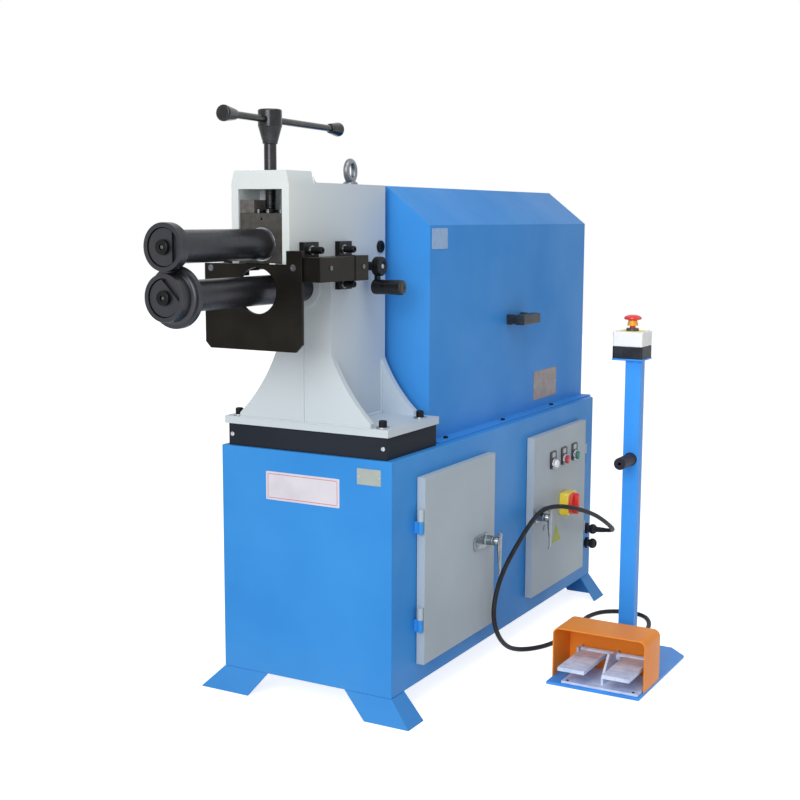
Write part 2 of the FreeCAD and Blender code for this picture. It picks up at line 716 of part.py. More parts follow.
# Guide bar brackets, slide rail and left rod bracket
bar_axis_z = BAR_Z0 + BAR_H / 2
bracket_front = box(col_half, RAIL_X0, RAIL_Y0, RAIL_Y0 + BRACKET_L, BRACKET_FRONT_Z0, BRACKET_TOP_Z)
bracket_rear = box(col_half, RAIL_X0, bracket_rear_y0, RAIL_REAR_Y, BRACKET_REAR_Z0, BRACKET_TOP_Z)
for screw_y, screw_z in bracket_screws:
    hole = rod_x(screw_y, screw_z, col_half, RAIL_X0, BRACKET_SHANK_R + HOLE_GAP)
    bracket_front = bracket_front.cut(hole)
    bracket_rear = bracket_rear.cut(hole)
rail_head_x0 = BAR_X0 + RAIL_HEAD_IN
rail_head_x1 = rail_head_x0 + RAIL_HEAD_W
rail = box(RAIL_X0, rail_head_x1, RAIL_Y0, RAIL_REAR_Y, bar_axis_z - RAIL_WEB_H / 2,
           bar_axis_z + RAIL_WEB_H / 2)
rail = rail.fuse(box(rail_head_x0, rail_head_x1, RAIL_Y0, RAIL_REAR_Y,
                     bar_axis_z - RAIL_HEAD_H / 2, bar_axis_z + RAIL_HEAD_H / 2))
left_bracket = box(LEFT_ROD_X - LEFT_BRACKET_H / 2, -col_half, LEFT_BRACKET_Y0,
                   LEFT_BRACKET_Y0 + LEFT_BRACKET_L, bar_axis_z - LEFT_BRACKET_H / 2 + LEFT_BRACKET_STEP,
                   bar_axis_z + LEFT_BRACKET_H / 2)
left_bracket = left_bracket.fuse(box(-RAIL_X0, -col_half, LEFT_BRACKET_Y0,
                                     LEFT_BRACKET_Y0 + LEFT_BRACKET_L,
                                     bar_axis_z - LEFT_BRACKET_H / 2 + LEFT_BRACKET_STEP, BRACKET_TOP_Z))
left_bracket = left_bracket.fuse(box(LEFT_ROD_X - LEFT_BRACKET_H / 2, LEFT_ROD_X + LEFT_BRACKET_H / 2,
                                     LEFT_BRACKET_Y0, LEFT_BRACKET_Y0 + LEFT_BRACKET_L,
                                     bar_axis_z - LEFT_BRACKET_H / 2, bar_axis_z))
left_bracket = left_bracket.cut(rod_y(LEFT_ROD_X, bar_axis_z, LEFT_BRACKET_Y0,
                                      LEFT_BRACKET_Y0 + LEFT_BRACKET_L, LEFT_ROD_R + FIT))
parts["guide_brackets"] = group([bracket_front, bracket_rear, rail, left_bracket.removeSplitter()])

bracket_fixings = []
for screw_y, screw_z in bracket_screws:
    head_x = RAIL_X0 + BRACKET_WASHER_T
    washer = rod_x(screw_y, screw_z, RAIL_X0, head_x, BRACKET_WASHER_R)
    washer = washer.cut(rod_x(screw_y, screw_z, RAIL_X0, head_x, BRACKET_SHANK_R + HOLE_GAP))
    screw = rod_x(screw_y, screw_z, head_x, head_x + BRACKET_SCREW_L, BRACKET_SCREW_R)
    screw = screw.fuse(rod_x(screw_y, screw_z, inner_half, head_x, BRACKET_SHANK_R))
    screw = screw.cut(rod_x(screw_y, screw_z, head_x + BRACKET_SCREW_L - BRACKET_KEY_D,
                            head_x + BRACKET_SCREW_L, BRACKET_KEY_R))
    bracket_fixings += [screw, washer]
parts["bracket_screws"] = group(bracket_fixings)

# Sliding guide: plate behind the rolls, the bar on the rail and a round rod on the left
guide_rear = GUIDE_FRONT_Y + GUIDE_T
bar_x1 = BAR_X0 + BAR_W
plate_outline = [(GUIDE_LEFT, GUIDE_TOP_Z), (GUIDE_LEFT, GUIDE_BOTTOM_Z + GUIDE_CUT),
                 (GUIDE_LEFT + GUIDE_CUT, GUIDE_BOTTOM_Z),
                 (GUIDE_RIGHT - 1.3 * GUIDE_CUT, GUIDE_BOTTOM_Z),
                 (GUIDE_RIGHT, GUIDE_BOTTOM_Z + 1.3 * GUIDE_CUT), (GUIDE_RIGHT, GUIDE_EAR_TOP_Z),
                 (GUIDE_EAR_X, GUIDE_EAR_TOP_Z), (GUIDE_EAR_X, GUIDE_TOP_Z)]
guide_plate = prism([V(x, GUIDE_FRONT_Y, z) for x, z in plate_outline], V(0, GUIDE_T, 0))
guide_plate = guide_plate.cut(rod_y(0, LOWER_Z, GUIDE_FRONT_Y, guide_rear, GUIDE_HOLE_R))
guide_screw_at = [(LEFT_ROD_X, bar_axis_z), (LUG_SCREW_X, bar_axis_z + LUG_SCREW_UP)]


def countersunk(x, z, y0, gap):
    shank = rod_y(x, z, y0, y0 + CSK_L, CSK_R / 2 + gap)
    cone = Part.makeCone(CSK_R + gap, CSK_R / 2 + gap, CSK_H, V(x, y0, z), BACK)
    return shank.fuse(cone)


for screw_x, screw_z in guide_screw_at:
    guide_plate = guide_plate.cut(countersunk(screw_x, screw_z, GUIDE_FRONT_Y, HOLE_GAP))
parts["guide_plate"] = guide_plate

cap_front = BAR_REAR_Y - CAP_L
rail_slot = box(BAR_X0 - CAP_PROUD, rail_head_x1 + SLIDE_GAP, guide_rear + LUG_T, BAR_REAR_Y,
                bar_axis_z - RAIL_WEB_H / 2 - SLIDE_GAP, bar_axis_z + RAIL_WEB_H / 2 + SLIDE_GAP)
rail_slot = rail_slot.fuse(box(rail_head_x0 - SLIDE_GAP, rail_head_x1 + SLIDE_GAP,
                               guide_rear + LUG_T, BAR_REAR_Y,
                               bar_axis_z - RAIL_HEAD_H / 2 - SLIDE_GAP,
                               bar_axis_z + RAIL_HEAD_H / 2 + SLIDE_GAP))
guide_bar = box(BAR_X0, bar_x1, guide_rear, cap_front, BAR_Z0, BAR_Z0 + BAR_H)
guide_bar = guide_bar.fuse(box(LUG_X0, BAR_X0, guide_rear, guide_rear + LUG_T, BAR_Z0,
                               GUIDE_EAR_TOP_Z))
guide_bar = guide_bar.cut(rail_slot)
for screw_x, screw_z in guide_screw_at:
    guide_bar = guide_bar.cut(countersunk(screw_x, screw_z, GUIDE_FRONT_Y, HOLE_GAP))
end_cap = box(BAR_X0 - CAP_PROUD, bar_x1 + CAP_PROUD, cap_front, BAR_REAR_Y,
              BAR_Z0 - CAP_PROUD, BAR_Z0 + BAR_H + CAP_PROUD).cut(rail_slot)
left_rod = rod_y(LEFT_ROD_X, bar_axis_z, guide_rear, LEFT_ROD_REAR_Y, LEFT_ROD_R)
left_rod = left_rod.cut(countersunk(LEFT_ROD_X, bar_axis_z, GUIDE_FRONT_Y, HOLE_GAP))
parts["guide_bar"] = group([guide_bar, end_cap, left_rod])

guide_screws = [countersunk(x, z, GUIDE_FRONT_Y, 0) for x, z in guide_screw_at]
for screw_y, seat_x in ((RAIL_Y0, bar_x1), (BAR_REAR_Y - MARK_SCREW_REAR, bar_x1 + CAP_PROUD)):
    guide_screws.append(rod_x(screw_y, bar_axis_z + MARK_SCREW_UP, seat_x, seat_x + MARK_SCREW_H,
                              MARK_SCREW_R))
parts["guide_screws"] = group(guide_screws)

# Lower shaft with its groove for the axial shoe, turned in one piece
shoe_y0 = LEVER_Y - SHOE_W / 2
shoe_y1 = LEVER_Y + SHOE_W / 2
clamp_floor = ROLL_FRONT_Y + RECESS_D
lower_shaft = turned_y(0, LOWER_Z, [
    (clamp_floor + 0.5, 0), (clamp_floor + 0.5, NOSE_R), (LOWER_HUB_REAR_Y, NOSE_R),
    (LOWER_HUB_REAR_Y, LOWER_R), (shoe_y0 - SLIDE_GAP, LOWER_R), (shoe_y0 - SLIDE_GAP, GROOVE_R),
    (shoe_y1 + SLIDE_GAP, GROOVE_R), (shoe_y1 + SLIDE_GAP, LOWER_R), (JOURNAL_FRONT_Y, LOWER_R),
    (JOURNAL_FRONT_Y, JOURNAL_R), (SHAFT_REAR_Y, JOURNAL_R), (SHAFT_REAR_Y, 0)])
stud_bore_end = clamp_floor + CLAMP_STUD_L + 5
lower_shaft = lower_shaft.cut(rod_y(0, LOWER_Z, clamp_floor, stud_bore_end, CLAMP_STUD_R + FIT))
parts["lower_shaft"] = lower_shaft

# Upper shaft, carried by the block in front and by a ball at the rear
upper_shaft = turned_y(0, UPPER_Z, [
    (clamp_floor + 0.5, 0), (clamp_floor + 0.5, NOSE_R), (UPPER_HUB_REAR_Y, NOSE_R),
    (UPPER_HUB_REAR_Y, UPPER_R), (BLOCK_FRONT_Y + BLOCK_L + 8, UPPER_R),
    (BLOCK_FRONT_Y + BLOCK_L + 8, UPPER_REAR_R), (JOURNAL_FRONT_Y, UPPER_REAR_R),
    (JOURNAL_FRONT_Y, JOURNAL_R), (STAND_Y0 + STAND_T + 2, JOURNAL_R),
    (STAND_Y0 + STAND_T + 2, 0)])
upper_shaft = upper_shaft.cut(rod_y(0, UPPER_Z, clamp_floor, stud_bore_end, CLAMP_STUD_R + FIT))
parts["upper_shaft"] = upper_shaft


def turned_outline(axis_z, start, steps):
    """Revolve an outline about an axis along Y.  A step of 2 numbers is a line to (y, radius), one
    of 4 is an arc through the first pair to the second."""
    at = start
    edges = []
    for step in steps:
        begin = V(at[1], at[0], axis_z)
        end = V(step[-1], step[-2], axis_z)
        if len(step) == 2:
            edges.append(Part.makeLine(begin, end))
        else:
            edges.append(Part.Arc(begin, V(step[1], step[0], axis_z), end).toShape())
        at = step[-2:]
    return Part.Face(Part.Wire(edges)).revolve(V(0, 0, axis_z), BACK, 360)


def roll_face(hub_rear_y, hub_r):
    """The steps common to both rolls, from the hub's rear through the bore to the rim's front."""
    bore = NOSE_R + FIT
    return [(hub_rear_y, hub_r), (hub_rear_y, bore), (ROLL_FRONT_Y + RECESS_D, bore),
            (ROLL_FRONT_Y + RECESS_D, RECESS_R), (ROLL_FRONT_Y, RECESS_R),
            (ROLL_FRONT_Y, ROLL_R)]


def quarter(y_centre, r_centre, radius, side):
    """Middle point of a concave quarter arc; side is +1 where the arc lies behind its centre."""
    d = radius * math.sqrt(0.5)
    return (y_centre + side * d, r_centre - d)


# Upper roll: rim with a fillet down to its hub
rim_rear = ROLL_FRONT_Y + UPPER_RIM_W
mid = quarter(rim_rear + UPPER_FILLET, UPPER_HUB_R + UPPER_FILLET, UPPER_FILLET, -1)
parts["upper_roll"] = turned_outline(UPPER_Z, (ROLL_FRONT_Y, ROLL_R), [
    (rim_rear, ROLL_R), (rim_rear, UPPER_HUB_R + UPPER_FILLET),
    mid + (rim_rear + UPPER_FILLET, UPPER_HUB_R)] + roll_face(UPPER_HUB_REAR_Y, UPPER_HUB_R))

# Lower roll: rim, concave rise to the flange, then the hub
step_y = ROLL_FRONT_Y + LOWER_FLANGE_FRONT
mid = quarter(step_y - LOWER_FILLET, ROLL_R + LOWER_FILLET, LOWER_FILLET, 1)
flange_rear = step_y + LOWER_FLANGE_W
parts["lower_roll"] = turned_outline(LOWER_Z, (ROLL_FRONT_Y, ROLL_R), [
    (step_y - LOWER_FILLET, ROLL_R), mid + (step_y, ROLL_R + LOWER_FILLET),
    (step_y, LOWER_FLANGE_R), (flange_rear, LOWER_FLANGE_R), (flange_rear, LOWER_HUB_R)]
    + roll_face(LOWER_HUB_REAR_Y, LOWER_HUB_R))


# Each roll is held by a washer with one flat and a screw with a key socket
def roll_clamp(axis_z, flat_angle):
    y0 = clamp_floor - WASHER_T
    washer = rod_y(0, axis_z, y0, clamp_floor, WASHER_R)
    washer = washer.cut(rod_y(0, axis_z, y0, clamp_floor, CLAMP_STUD_R + FIT))
    flat = box(WASHER_FLAT, WASHER_R + 1, y0, clamp_floor, axis_z - WASHER_R, axis_z + WASHER_R)
    flat.rotate(V(0, 0, axis_z), BACK, -flat_angle)
    screw = rod_y(0, axis_z, y0 - CLAMP_HEAD_H, y0, CLAMP_HEAD_R)
    screw = screw.fuse(rod_y(0, axis_z, y0, clamp_floor + CLAMP_STUD_L, CLAMP_STUD_R))
    screw = screw.cut(key_socket_y(0, axis_z, y0 - CLAMP_HEAD_H, y0 - 2, CLAMP_KEY))
    return group([washer.cut(flat), screw])


parts["upper_roll_clamp"] = roll_clamp(UPPER_Z, 0)
parts["lower_roll_clamp"] = roll_clamp(LOWER_Z, 45)

# Bearing block, its gib and bolts, and the upper shaft's two bearings
block_rear = BLOCK_FRONT_Y + BLOCK_L
block_half = WINDOW_X / 2 - SLIDE_GAP
block = box(-block_half, block_half, BLOCK_FRONT_Y, block_rear, BLOCK_BOTTOM_Z, BLOCK_TOP_Z)
block = block.cut(rod_y(0, UPPER_Z, BLOCK_FRONT_Y, block_rear, RING_R + FIT))
oil_z = BLOCK_TOP_Z - 12
block = block.cut(rod_y(0, oil_z, BLOCK_FRONT_Y, BLOCK_FRONT_Y + 12, OIL_HOLE_R))
parts["bearing_block"] = block

gib = box(-block_half, -block_half + GIB_W, BLOCK_FRONT_Y, block_rear, BLOCK_TOP_Z,
          BLOCK_TOP_Z + GIB_H)
block_bolts = []
for bolt_x, bolt_y in ((-12, BLOCK_FRONT_Y + 8), (12, BLOCK_FRONT_Y + 8), (44, BLOCK_FRONT_Y + 8)):
    block_bolts.append(rod_z(bolt_x, bolt_y, BLOCK_TOP_Z, BLOCK_TOP_Z + BLOCK_BOLT_H, BLOCK_BOLT_R))
parts["block_gib"] = group([gib] + block_bolts)

front_ring = rod_y(0, UPPER_Z, BLOCK_FRONT_Y - RING_PROUD, block_rear, RING_R)
front_ring = front_ring.cut(rod_y(0, UPPER_Z, BLOCK_FRONT_Y - RING_PROUD, block_rear,
                                  UPPER_R + FIT))
ball = Part.makeSphere(BALL_R, V(0, PIVOT_Y, UPPER_Z))
ball = ball.common(rod_y(0, UPPER_Z, STAND_Y0, STAND_Y0 + STAND_T, BALL_R))
ball = ball.cut(rod_y(0, UPPER_Z, STAND_Y0, STAND_Y0 + STAND_T, JOURNAL_R + FIT))
parts["upper_bearings"] = group([front_ring, ball])

# Two bushes for the lower shaft in the column, and the rear stand on the cabinet
bushes = []
for y0, side in ((0.0, -1), (COL_L, 1)):
    inner_y = y0 - side * BUSH_LEN
    flange_y = y0 + side * BUSH_FLANGE_T
    lo, hi = sorted((inner_y, flange_y))
    bush = rod_y(0, LOWER_Z, lo, hi, BUSH_R)
    lo_f, hi_f = sorted((y0, flange_y))
    bush = bush.fuse(rod_y(0, LOWER_Z, lo_f, hi_f, BUSH_FLANGE_R))
    bush = bush.cut(rod_y(0, LOWER_Z, lo, hi, LOWER_R + FIT))
    if side < 0:
        bush = bush.cut(box(-RIB_W / 2, RIB_W / 2, lo_f, hi_f, LOWER_Z - BUSH_FLANGE_R - 1,
                            LOWER_Z - BUSH_R))
    bushes.append(bush)
parts["shaft_bushes"] = group(bushes)

stand_top = UPPER_Z + BALL_R + 22
stand = box(-STAND_W / 2, STAND_W / 2, STAND_Y0, STAND_Y0 + STAND_T, cab_top, stand_top)
stand = stand.fuse(box(-STAND_FOOT_W / 2, STAND_FOOT_W / 2, STAND_Y0 + STAND_T - STAND_FOOT_L,
                       STAND_Y0 + STAND_T, cab_top, cab_top + STAND_FOOT_T))
stand = stand.cut(Part.makeSphere(BALL_R + SLIDE_GAP, V(0, PIVOT_Y, UPPER_Z)))
stand = stand.cut(rod_y(0, LOWER_Z, STAND_Y0, STAND_Y0 + STAND_T, JOURNAL_R + FIT))
parts["rear_stand"] = stand


# Spur gears with involute flanks
def gear(axis_z, phase):
    base = GEAR_MODULE * GEAR_TEETH / 2 * math.cos(math.radians(20))
    pitch_r = GEAR_MODULE * GEAR_TEETH / 2
    tip_r = pitch_r + GEAR_MODULE - 0.3
    root_r = pitch_r - 1.3 * GEAR_MODULE
    half = (math.pi * GEAR_MODULE / 2 - GEAR_BACKLASH) / 2 / pitch_r

    def flank(r):
        if r <= base:
            return half + math.tan(math.radians(20)) - math.radians(20)
        a = math.acos(base / r)
        return half + math.tan(math.radians(20)) - math.radians(20) - (math.tan(a) - a)

    radii = [root_r, base, (base + pitch_r) / 2 + 0.6, pitch_r + 1.2, tip_r]
    outline = []
    for tooth in range(GEAR_TEETH):
        middle = phase + tooth * 2 * math.pi / GEAR_TEETH
        side = [(r, middle - flank(r)) for r in radii] + [(r, middle + flank(r))
                                                         for r in reversed(radii)]
        outline += [V(r * math.cos(a), GEAR_Y0, axis_z + r * math.sin(a)) for r, a in side]
    body = prism(outline, V(0, GEAR_W, 0))
    return body


gear_hole = JOURNAL_R + FIT
lower_gear = gear(LOWER_Z, math.pi / 2)
parts["lower_gear"] = lower_gear.cut(rod_y(0, LOWER_Z, GEAR_Y0, GEAR_Y0 + GEAR_W, gear_hole))
upper_gear = gear(UPPER_Z, -math.pi / 2 + math.pi / GEAR_TEETH)
parts["upper_gear"] = upper_gear.cut(rod_y(0, UPPER_Z, GEAR_Y0, GEAR_Y0 + GEAR_W, gear_hole))


# Chain drive from the geared motor: two sprockets and the chain, drawn standing
def sprocket(axis_z, teeth, hub_r, hub_y0, hub_y1):
    pitch_r = CHAIN_PITCH / 2 / math.sin(math.pi / teeth)
    tip_r = pitch_r + SPROCKET_ADD
    root_r = pitch_r - CHAIN_ROLLER_R - 0.2
    outline = []
    for tooth in range(teeth):
        middle = math.pi / 2 + tooth * 2 * math.pi / teeth
        step = 2 * math.pi / teeth
        for r, share in ((root_r, -0.32), (pitch_r, -0.2), (tip_r, -0.08), (tip_r, 0.08),
                         (pitch_r, 0.2), (root_r, 0.32)):
            a = middle + share * step
            outline.append(V(r * math.cos(a), CHAIN_Y - SPROCKET_W / 2, axis_z + r * math.sin(a)))
    body = prism(outline, V(0, SPROCKET_W, 0))
    return body.fuse(rod_y(0, axis_z, hub_y0, hub_y1, hub_r)), pitch_r


driven, driven_r = sprocket(LOWER_Z, DRIVEN_TEETH, JOURNAL_R + 12, STAND_Y0 + STAND_T + 2,
                            CHAIN_Y + 16)
parts["driven_sprocket"] = driven.cut(rod_y(0, LOWER_Z, STAND_Y0, SHAFT_REAR_Y, JOURNAL_R + FIT))
driver, driver_r = sprocket(MOTOR_AXIS_Z, DRIVER_TEETH, DRIVE_SHAFT_R + 8,
                            CHAIN_Y - CHAIN_HUB_W / 2, CHAIN_Y + CHAIN_HUB_W / 2)
driver = driver.fuse(rod_y(0, MOTOR_AXIS_Z, CHAIN_Y - 16, GEARBOX_Y0 + DRIVE_SHAFT_IN,
                           DRIVE_SHAFT_R))
parts["motor_sprocket"] = driver


def chain_loop(offset, y0, y1):
    """Flat face of the belt-like outline at an offset from the chain's pitch line, drawn out."""
    span = LOWER_Z - MOTOR_AXIS_Z
    lean = math.asin((driven_r - driver_r) / span)
    big = driven_r + offset
    small = driver_r + offset
    c, s = math.cos(lean), math.sin(lean)
    corners = []
    for side in (1, -1):
        corners.append(V(side * big * c, y0, LOWER_Z - big * s))
        corners.append(V(side * small * c, y0, MOTOR_AXIS_Z - small * s))
    a, b, d, e = corners
    edges = [Part.makeLine(a, b),
             Part.Arc(b, V(0, y0, MOTOR_AXIS_Z - small), e).toShape(),
             Part.makeLine(e, d),
             Part.Arc(d, V(0, y0, LOWER_Z + big), a).toShape()]
    return Part.Face(Part.Wire(edges)).extrude(V(0, y1 - y0, 0))


chain = None
for y0 in (CHAIN_Y - CHAIN_INNER_W / 2 - CHAIN_PLATE_T, CHAIN_Y + CHAIN_INNER_W / 2):
    band = chain_loop(CHAIN_PLATE_H / 2, y0, y0 + CHAIN_PLATE_T)
    band = band.cut(chain_loop(-CHAIN_PLATE_H / 2, y0, y0 + CHAIN_PLATE_T))
    chain = band if chain is None else chain.fuse(band)
span = LOWER_Z - MOTOR_AXIS_Z
lean = math.asin((driven_r - driver_r) / span)
run_length = span * math.cos(lean)
free_run = run_length - 2 * CHAIN_END_GAP
pins = int(free_run / CHAIN_PITCH)
for side in (1, -1):
    for k in range(pins):
        along = CHAIN_END_GAP + (k + 0.5) * free_run / pins
        x = side * (driven_r * math.cos(lean) - along * math.sin(lean))
        z = LOWER_Z - driven_r * math.sin(lean) - along * math.cos(lean)
        chain = chain.fuse(rod_y(x, z, CHAIN_Y - CHAIN_INNER_W / 2, CHAIN_Y + CHAIN_INNER_W / 2,
                                 CHAIN_ROLLER_R))
parts["drive_chain"] = chain

bed_top = MOTOR_AXIS_Z - GEARBOX_H / 2
cab_floor = CAB_FOOT_H + SHEET
bed = box(-BED_X / 2, BED_X / 2, BED_Y0, BED_Y0 + BED_L, bed_top - BED_T, bed_top)
for sx in (-1, 1):
    for leg_y in (BED_Y0, BED_Y0 + BED_L - BED_LEG):
        leg_x = sorted((sx * BED_X / 2, sx * (BED_X / 2 - BED_LEG)))
        bed = bed.fuse(box(leg_x[0], leg_x[1], leg_y, leg_y + BED_LEG, cab_floor,
                           bed_top - BED_T))
gearbox = box(-GEARBOX_X / 2, GEARBOX_X / 2, GEARBOX_Y0, GEARBOX_Y0 + GEARBOX_L, bed_top,
              bed_top + GEARBOX_H)
gearbox = gearbox.cut(rod_y(0, MOTOR_AXIS_Z, GEARBOX_Y0, GEARBOX_Y0 + DRIVE_SHAFT_IN + 2,
                            DRIVE_SHAFT_R + FIT))
motor_y0 = GEARBOX_Y0 + GEARBOX_L
motor = rod_y(0, MOTOR_AXIS_Z, motor_y0, motor_y0 + MOTOR_L, MOTOR_R - MOTOR_FIN)
motor_y1 = motor_y0 + MOTOR_L
motor = motor.fuse(rod_y(0, MOTOR_AXIS_Z, motor_y0, motor_y0 + MOTOR_FLANGE_L, MOTOR_R))
motor = motor.fuse(rod_y(0, MOTOR_AXIS_Z, motor_y1 - FAN_COWL_L, motor_y1, MOTOR_R))
terminal_y0 = motor_y0 + TERMINAL_Y
motor = motor.fuse(box(-TERMINAL_BOX[0] / 2, TERMINAL_BOX[0] / 2, terminal_y0,
                       terminal_y0 + TERMINAL_BOX[1], MOTOR_AXIS_Z,
                       MOTOR_AXIS_Z + TERMINAL_BOX[2]))
parts["gearmotor"] = group([bed, gearbox, motor])

# Switchgear plate on the cabinet's far wall with three contactors
switch_plate = box(-cab_half + SHEET, -cab_half + SHEET + SWITCH_T, SWITCH_Y0,
                   SWITCH_Y0 + SWITCH_L, SWITCH_Z0, SWITCH_Z0 + SWITCH_H)
switchgear = [switch_plate]
plate_x = -cab_half + SHEET + SWITCH_T
for k in range(3):
    y0 = SWITCH_Y0 + CONTACTOR_Y + k * (CONTACTOR[1] + CONTACTOR_GAP)
    z0 = SWITCH_Z0 + CONTACTOR_UP
    switchgear.append(box(plate_x, plate_x + CONTACTOR[0], y0, y0 + CONTACTOR[1], z0,
                          z0 + CONTACTOR[2]))
parts["switchgear"] = group(switchgear)

# Cover over the gears: folded sheet hood on a foot flange
cover_z0 = cab_top
cover_half = COVER_X / 2


def hood(inset, z0):
    half = cover_half - inset
    ridge = COVER_RIDGE_X / 2
    rise = COVER_TOP_Z - COVER_EAVES_Z
    run = cover_half - ridge
    slope = math.hypot(rise, run)
    drop = inset * (slope - run) / rise
    eaves = COVER_EAVES_Z - inset * (slope - rise) / run
    ridge_in = ridge - inset * (slope - run) / rise
    outline = [(-half, z0), (half, z0), (half, eaves), (ridge_in, COVER_TOP_Z - inset),
               (-ridge_in, COVER_TOP_Z - inset), (-half, eaves)]
    return prism([V(x, COVER_Y0 + inset, z) for x, z in outline],
                 V(0, COVER_L - 2 * inset, 0))


cover = hood(0, cover_z0)
cover = cover.fuse(box(-COVER_FLANGE_X / 2, COVER_FLANGE_X / 2, COVER_Y0, COVER_Y0 + COVER_L,
                       cover_z0, cover_z0 + COVER_FLANGE_T))
cover = cover.cut(hood(THIN_SHEET, cover_z0))
cover = cover.cut(rod_y(0, LOWER_Z, COVER_Y0, COVER_Y0 + THIN_SHEET, LOWER_R + COVER_HOLE_GAP))
cover = cover.cut(rod_y(0, UPPER_Z + REAR_HOLE_UP, COVER_Y0, COVER_Y0 + THIN_SHEET,
                        UPPER_REAR_R + COVER_HOLE_GAP + REAR_HOLE_UP))
cover_screw_x = (COVER_FLANGE_X + COVER_X) / 4
cover_screws_y = [COVER_Y0 + COVER_SCREW_FIRST + k * COVER_SCREW_STEP for k in range(3)]
for sx in (-1, 1):
    for screw_y in cover_screws_y:
        cover = cover.cut(rod_z(sx * cover_screw_x, screw_y, cover_z0,
                                cover_z0 + COVER_FLANGE_T, PANEL_SHANK_R + HOLE_GAP))
parts["cover"] = cover

# Bridge handle on the cover's side
handle_x = cover_half + HANDLE_OUT - HANDLE_R
handle = rod_y(handle_x, HANDLE_Z, HANDLE_Y0, HANDLE_Y0 + HANDLE_L, HANDLE_R)
for y0 in (HANDLE_Y0, HANDLE_Y0 + HANDLE_L - HANDLE_FOOT):
    handle = handle.fuse(box(cover_half, handle_x, y0, y0 + HANDLE_FOOT, HANDLE_Z - HANDLE_R,
                             HANDLE_Z + HANDLE_R))
parts["cover_handle"] = handle

# Panel screws: two on the riser, six on the cover's flange, and the plug on the head's side
panel_screws = []
riser_screw_z = cab_top + RISER_H / 2
for sx in (-1, 1):
    screw_x = sx * (RISER_X / 2 - RISER_SCREW_IN)
    head_s = rod_y(screw_x, riser_screw_z, RISER_Y0 - PANEL_SCREW_H, RISER_Y0, PANEL_SCREW_R)
    shank_s = rod_y(screw_x, riser_screw_z, RISER_Y0, RISER_Y0 + PANEL_SHANK_L, PANEL_SHANK_R)
    panel_screws.append(head_s.fuse(shank_s))
    for screw_y in cover_screws_y:
        z0 = cover_z0 + COVER_FLANGE_T
        head_s = rod_z(sx * cover_screw_x, screw_y, z0, z0 + PANEL_SCREW_H, PANEL_SCREW_R)
        shank_s = rod_z(sx * cover_screw_x, screw_y, cover_z0, z0, PANEL_SHANK_R)
        panel_screws.append(head_s.fuse(shank_s))
plug = rod_x(PLUG_Y, PLUG_Z, col_half, col_half + PLUG_T, PLUG_R)
plug = plug.fuse(rod_x(PLUG_Y, PLUG_Z, inner_half + 2, col_half, EYE_SHANK_R))
plug = plug.cut(rod_x(PLUG_Y, PLUG_Z, col_half + PLUG_T / 2, col_half + PLUG_T, PLUG_R / 2))
parts["panel_screws"] = group(panel_screws + [plug])

# Plain plates: large and small on the cabinet's front, two on the cover's side
plates = []
for x0, x1, low, high in (NAME_PLATE, SMALL_PLATE):
    plates.append(box(x0, x1, -PLATE_T, 0, cab_top - low, cab_top - high))
label_y0, label_y1, label_low, label_high = COVER_LABEL
plates.append(box(cover_half, cover_half + PLATE_T, COVER_Y0 + label_y0, COVER_Y0 + label_y1,
                  COVER_EAVES_Z - label_low, COVER_EAVES_Z - label_high))
spec_y0, spec_y1, spec_z0, spec_z1 = SPEC_PLATE
plates.append(box(cover_half, cover_half + PLATE_T, COVER_Y0 + spec_y0, COVER_Y0 + spec_y1,
                  cab_top + spec_z0, cab_top + spec_z1))
parts["plates"] = group(plates)


# Doors with the upper halves of their lift-off hinges
def door(y0, length, hinge_side, hinge_zs):
    """Double-skinned door; hinge_side is -1 with the hinges at its front edge, +1 at its rear."""
    x1 = DOOR_X0 + DOOR_T
    t = THIN_SHEET
    body = box(DOOR_X0, x1, y0, y0 + length, DOOR_Z0, DOOR_Z0 + DOOR_H)
    body = body.cut(box(DOOR_X0 + t, x1 - t, y0 + t, y0 + length - t, DOOR_Z0 + t,
                        DOOR_Z0 + DOOR_H - t))
    edge = y0 if hinge_side < 0 else y0 + length
    axis_y = edge + hinge_side * HINGE_OUT
    for z0 in hinge_zs:
        middle = z0 + HINGE_H / 2 + HINGE_GAP / 2
        top = z0 + HINGE_H
        knuckle = rod_z(HINGE_X, axis_y, middle, top, HINGE_R)
        lo, hi = sorted((axis_y, edge))
        knuckle = knuckle.fuse(box(HINGE_X - HINGE_LEAF_T / 2, HINGE_X + HINGE_LEAF_T / 2, lo, hi,
                                   middle, top))
        knuckle = knuckle.cut(rod_z(HINGE_X, axis_y, middle, top - 3, HINGE_PIN_R + FIT))
        body = body.fuse(knuckle)
    return body, axis_y


door_1, hinge_y1 = door(DOOR1_Y0, DOOR1_L, -1, HINGE_Z)
door_2, hinge_y2 = door(DOOR2_Y0, DOOR2_L, 1, HINGE_Z)

# Lower halves of the hinges, on the cabinet, with their pins
pintles = []
for axis_y in (hinge_y1, hinge_y2):
    for z0 in HINGE_Z:
        middle = z0 + HINGE_H / 2 - HINGE_GAP / 2
        pintle = rod_z(HINGE_X, axis_y, z0, middle, HINGE_R)
        pintle = pintle.fuse(box(cab_half, HINGE_X, axis_y - HINGE_LEAF_T / 2,
                                 axis_y + HINGE_LEAF_T / 2, z0, middle))
        pintle = pintle.fuse(rod_z(HINGE_X, axis_y, middle, z0 + HINGE_H - 5, HINGE_PIN_R))
        pintles.append(pintle)
parts["hinge_pintles"] = group(pintles)

# Latches: plate and boss on the door, spindle with the hanging lever
door_face = DOOR_X0 + DOOR_T


def latch_hole(body, place):
    y, z = place
    return body.cut(rod_x(y, z, DOOR_X0, door_face, LATCH_SPINDLE_R + FIT))


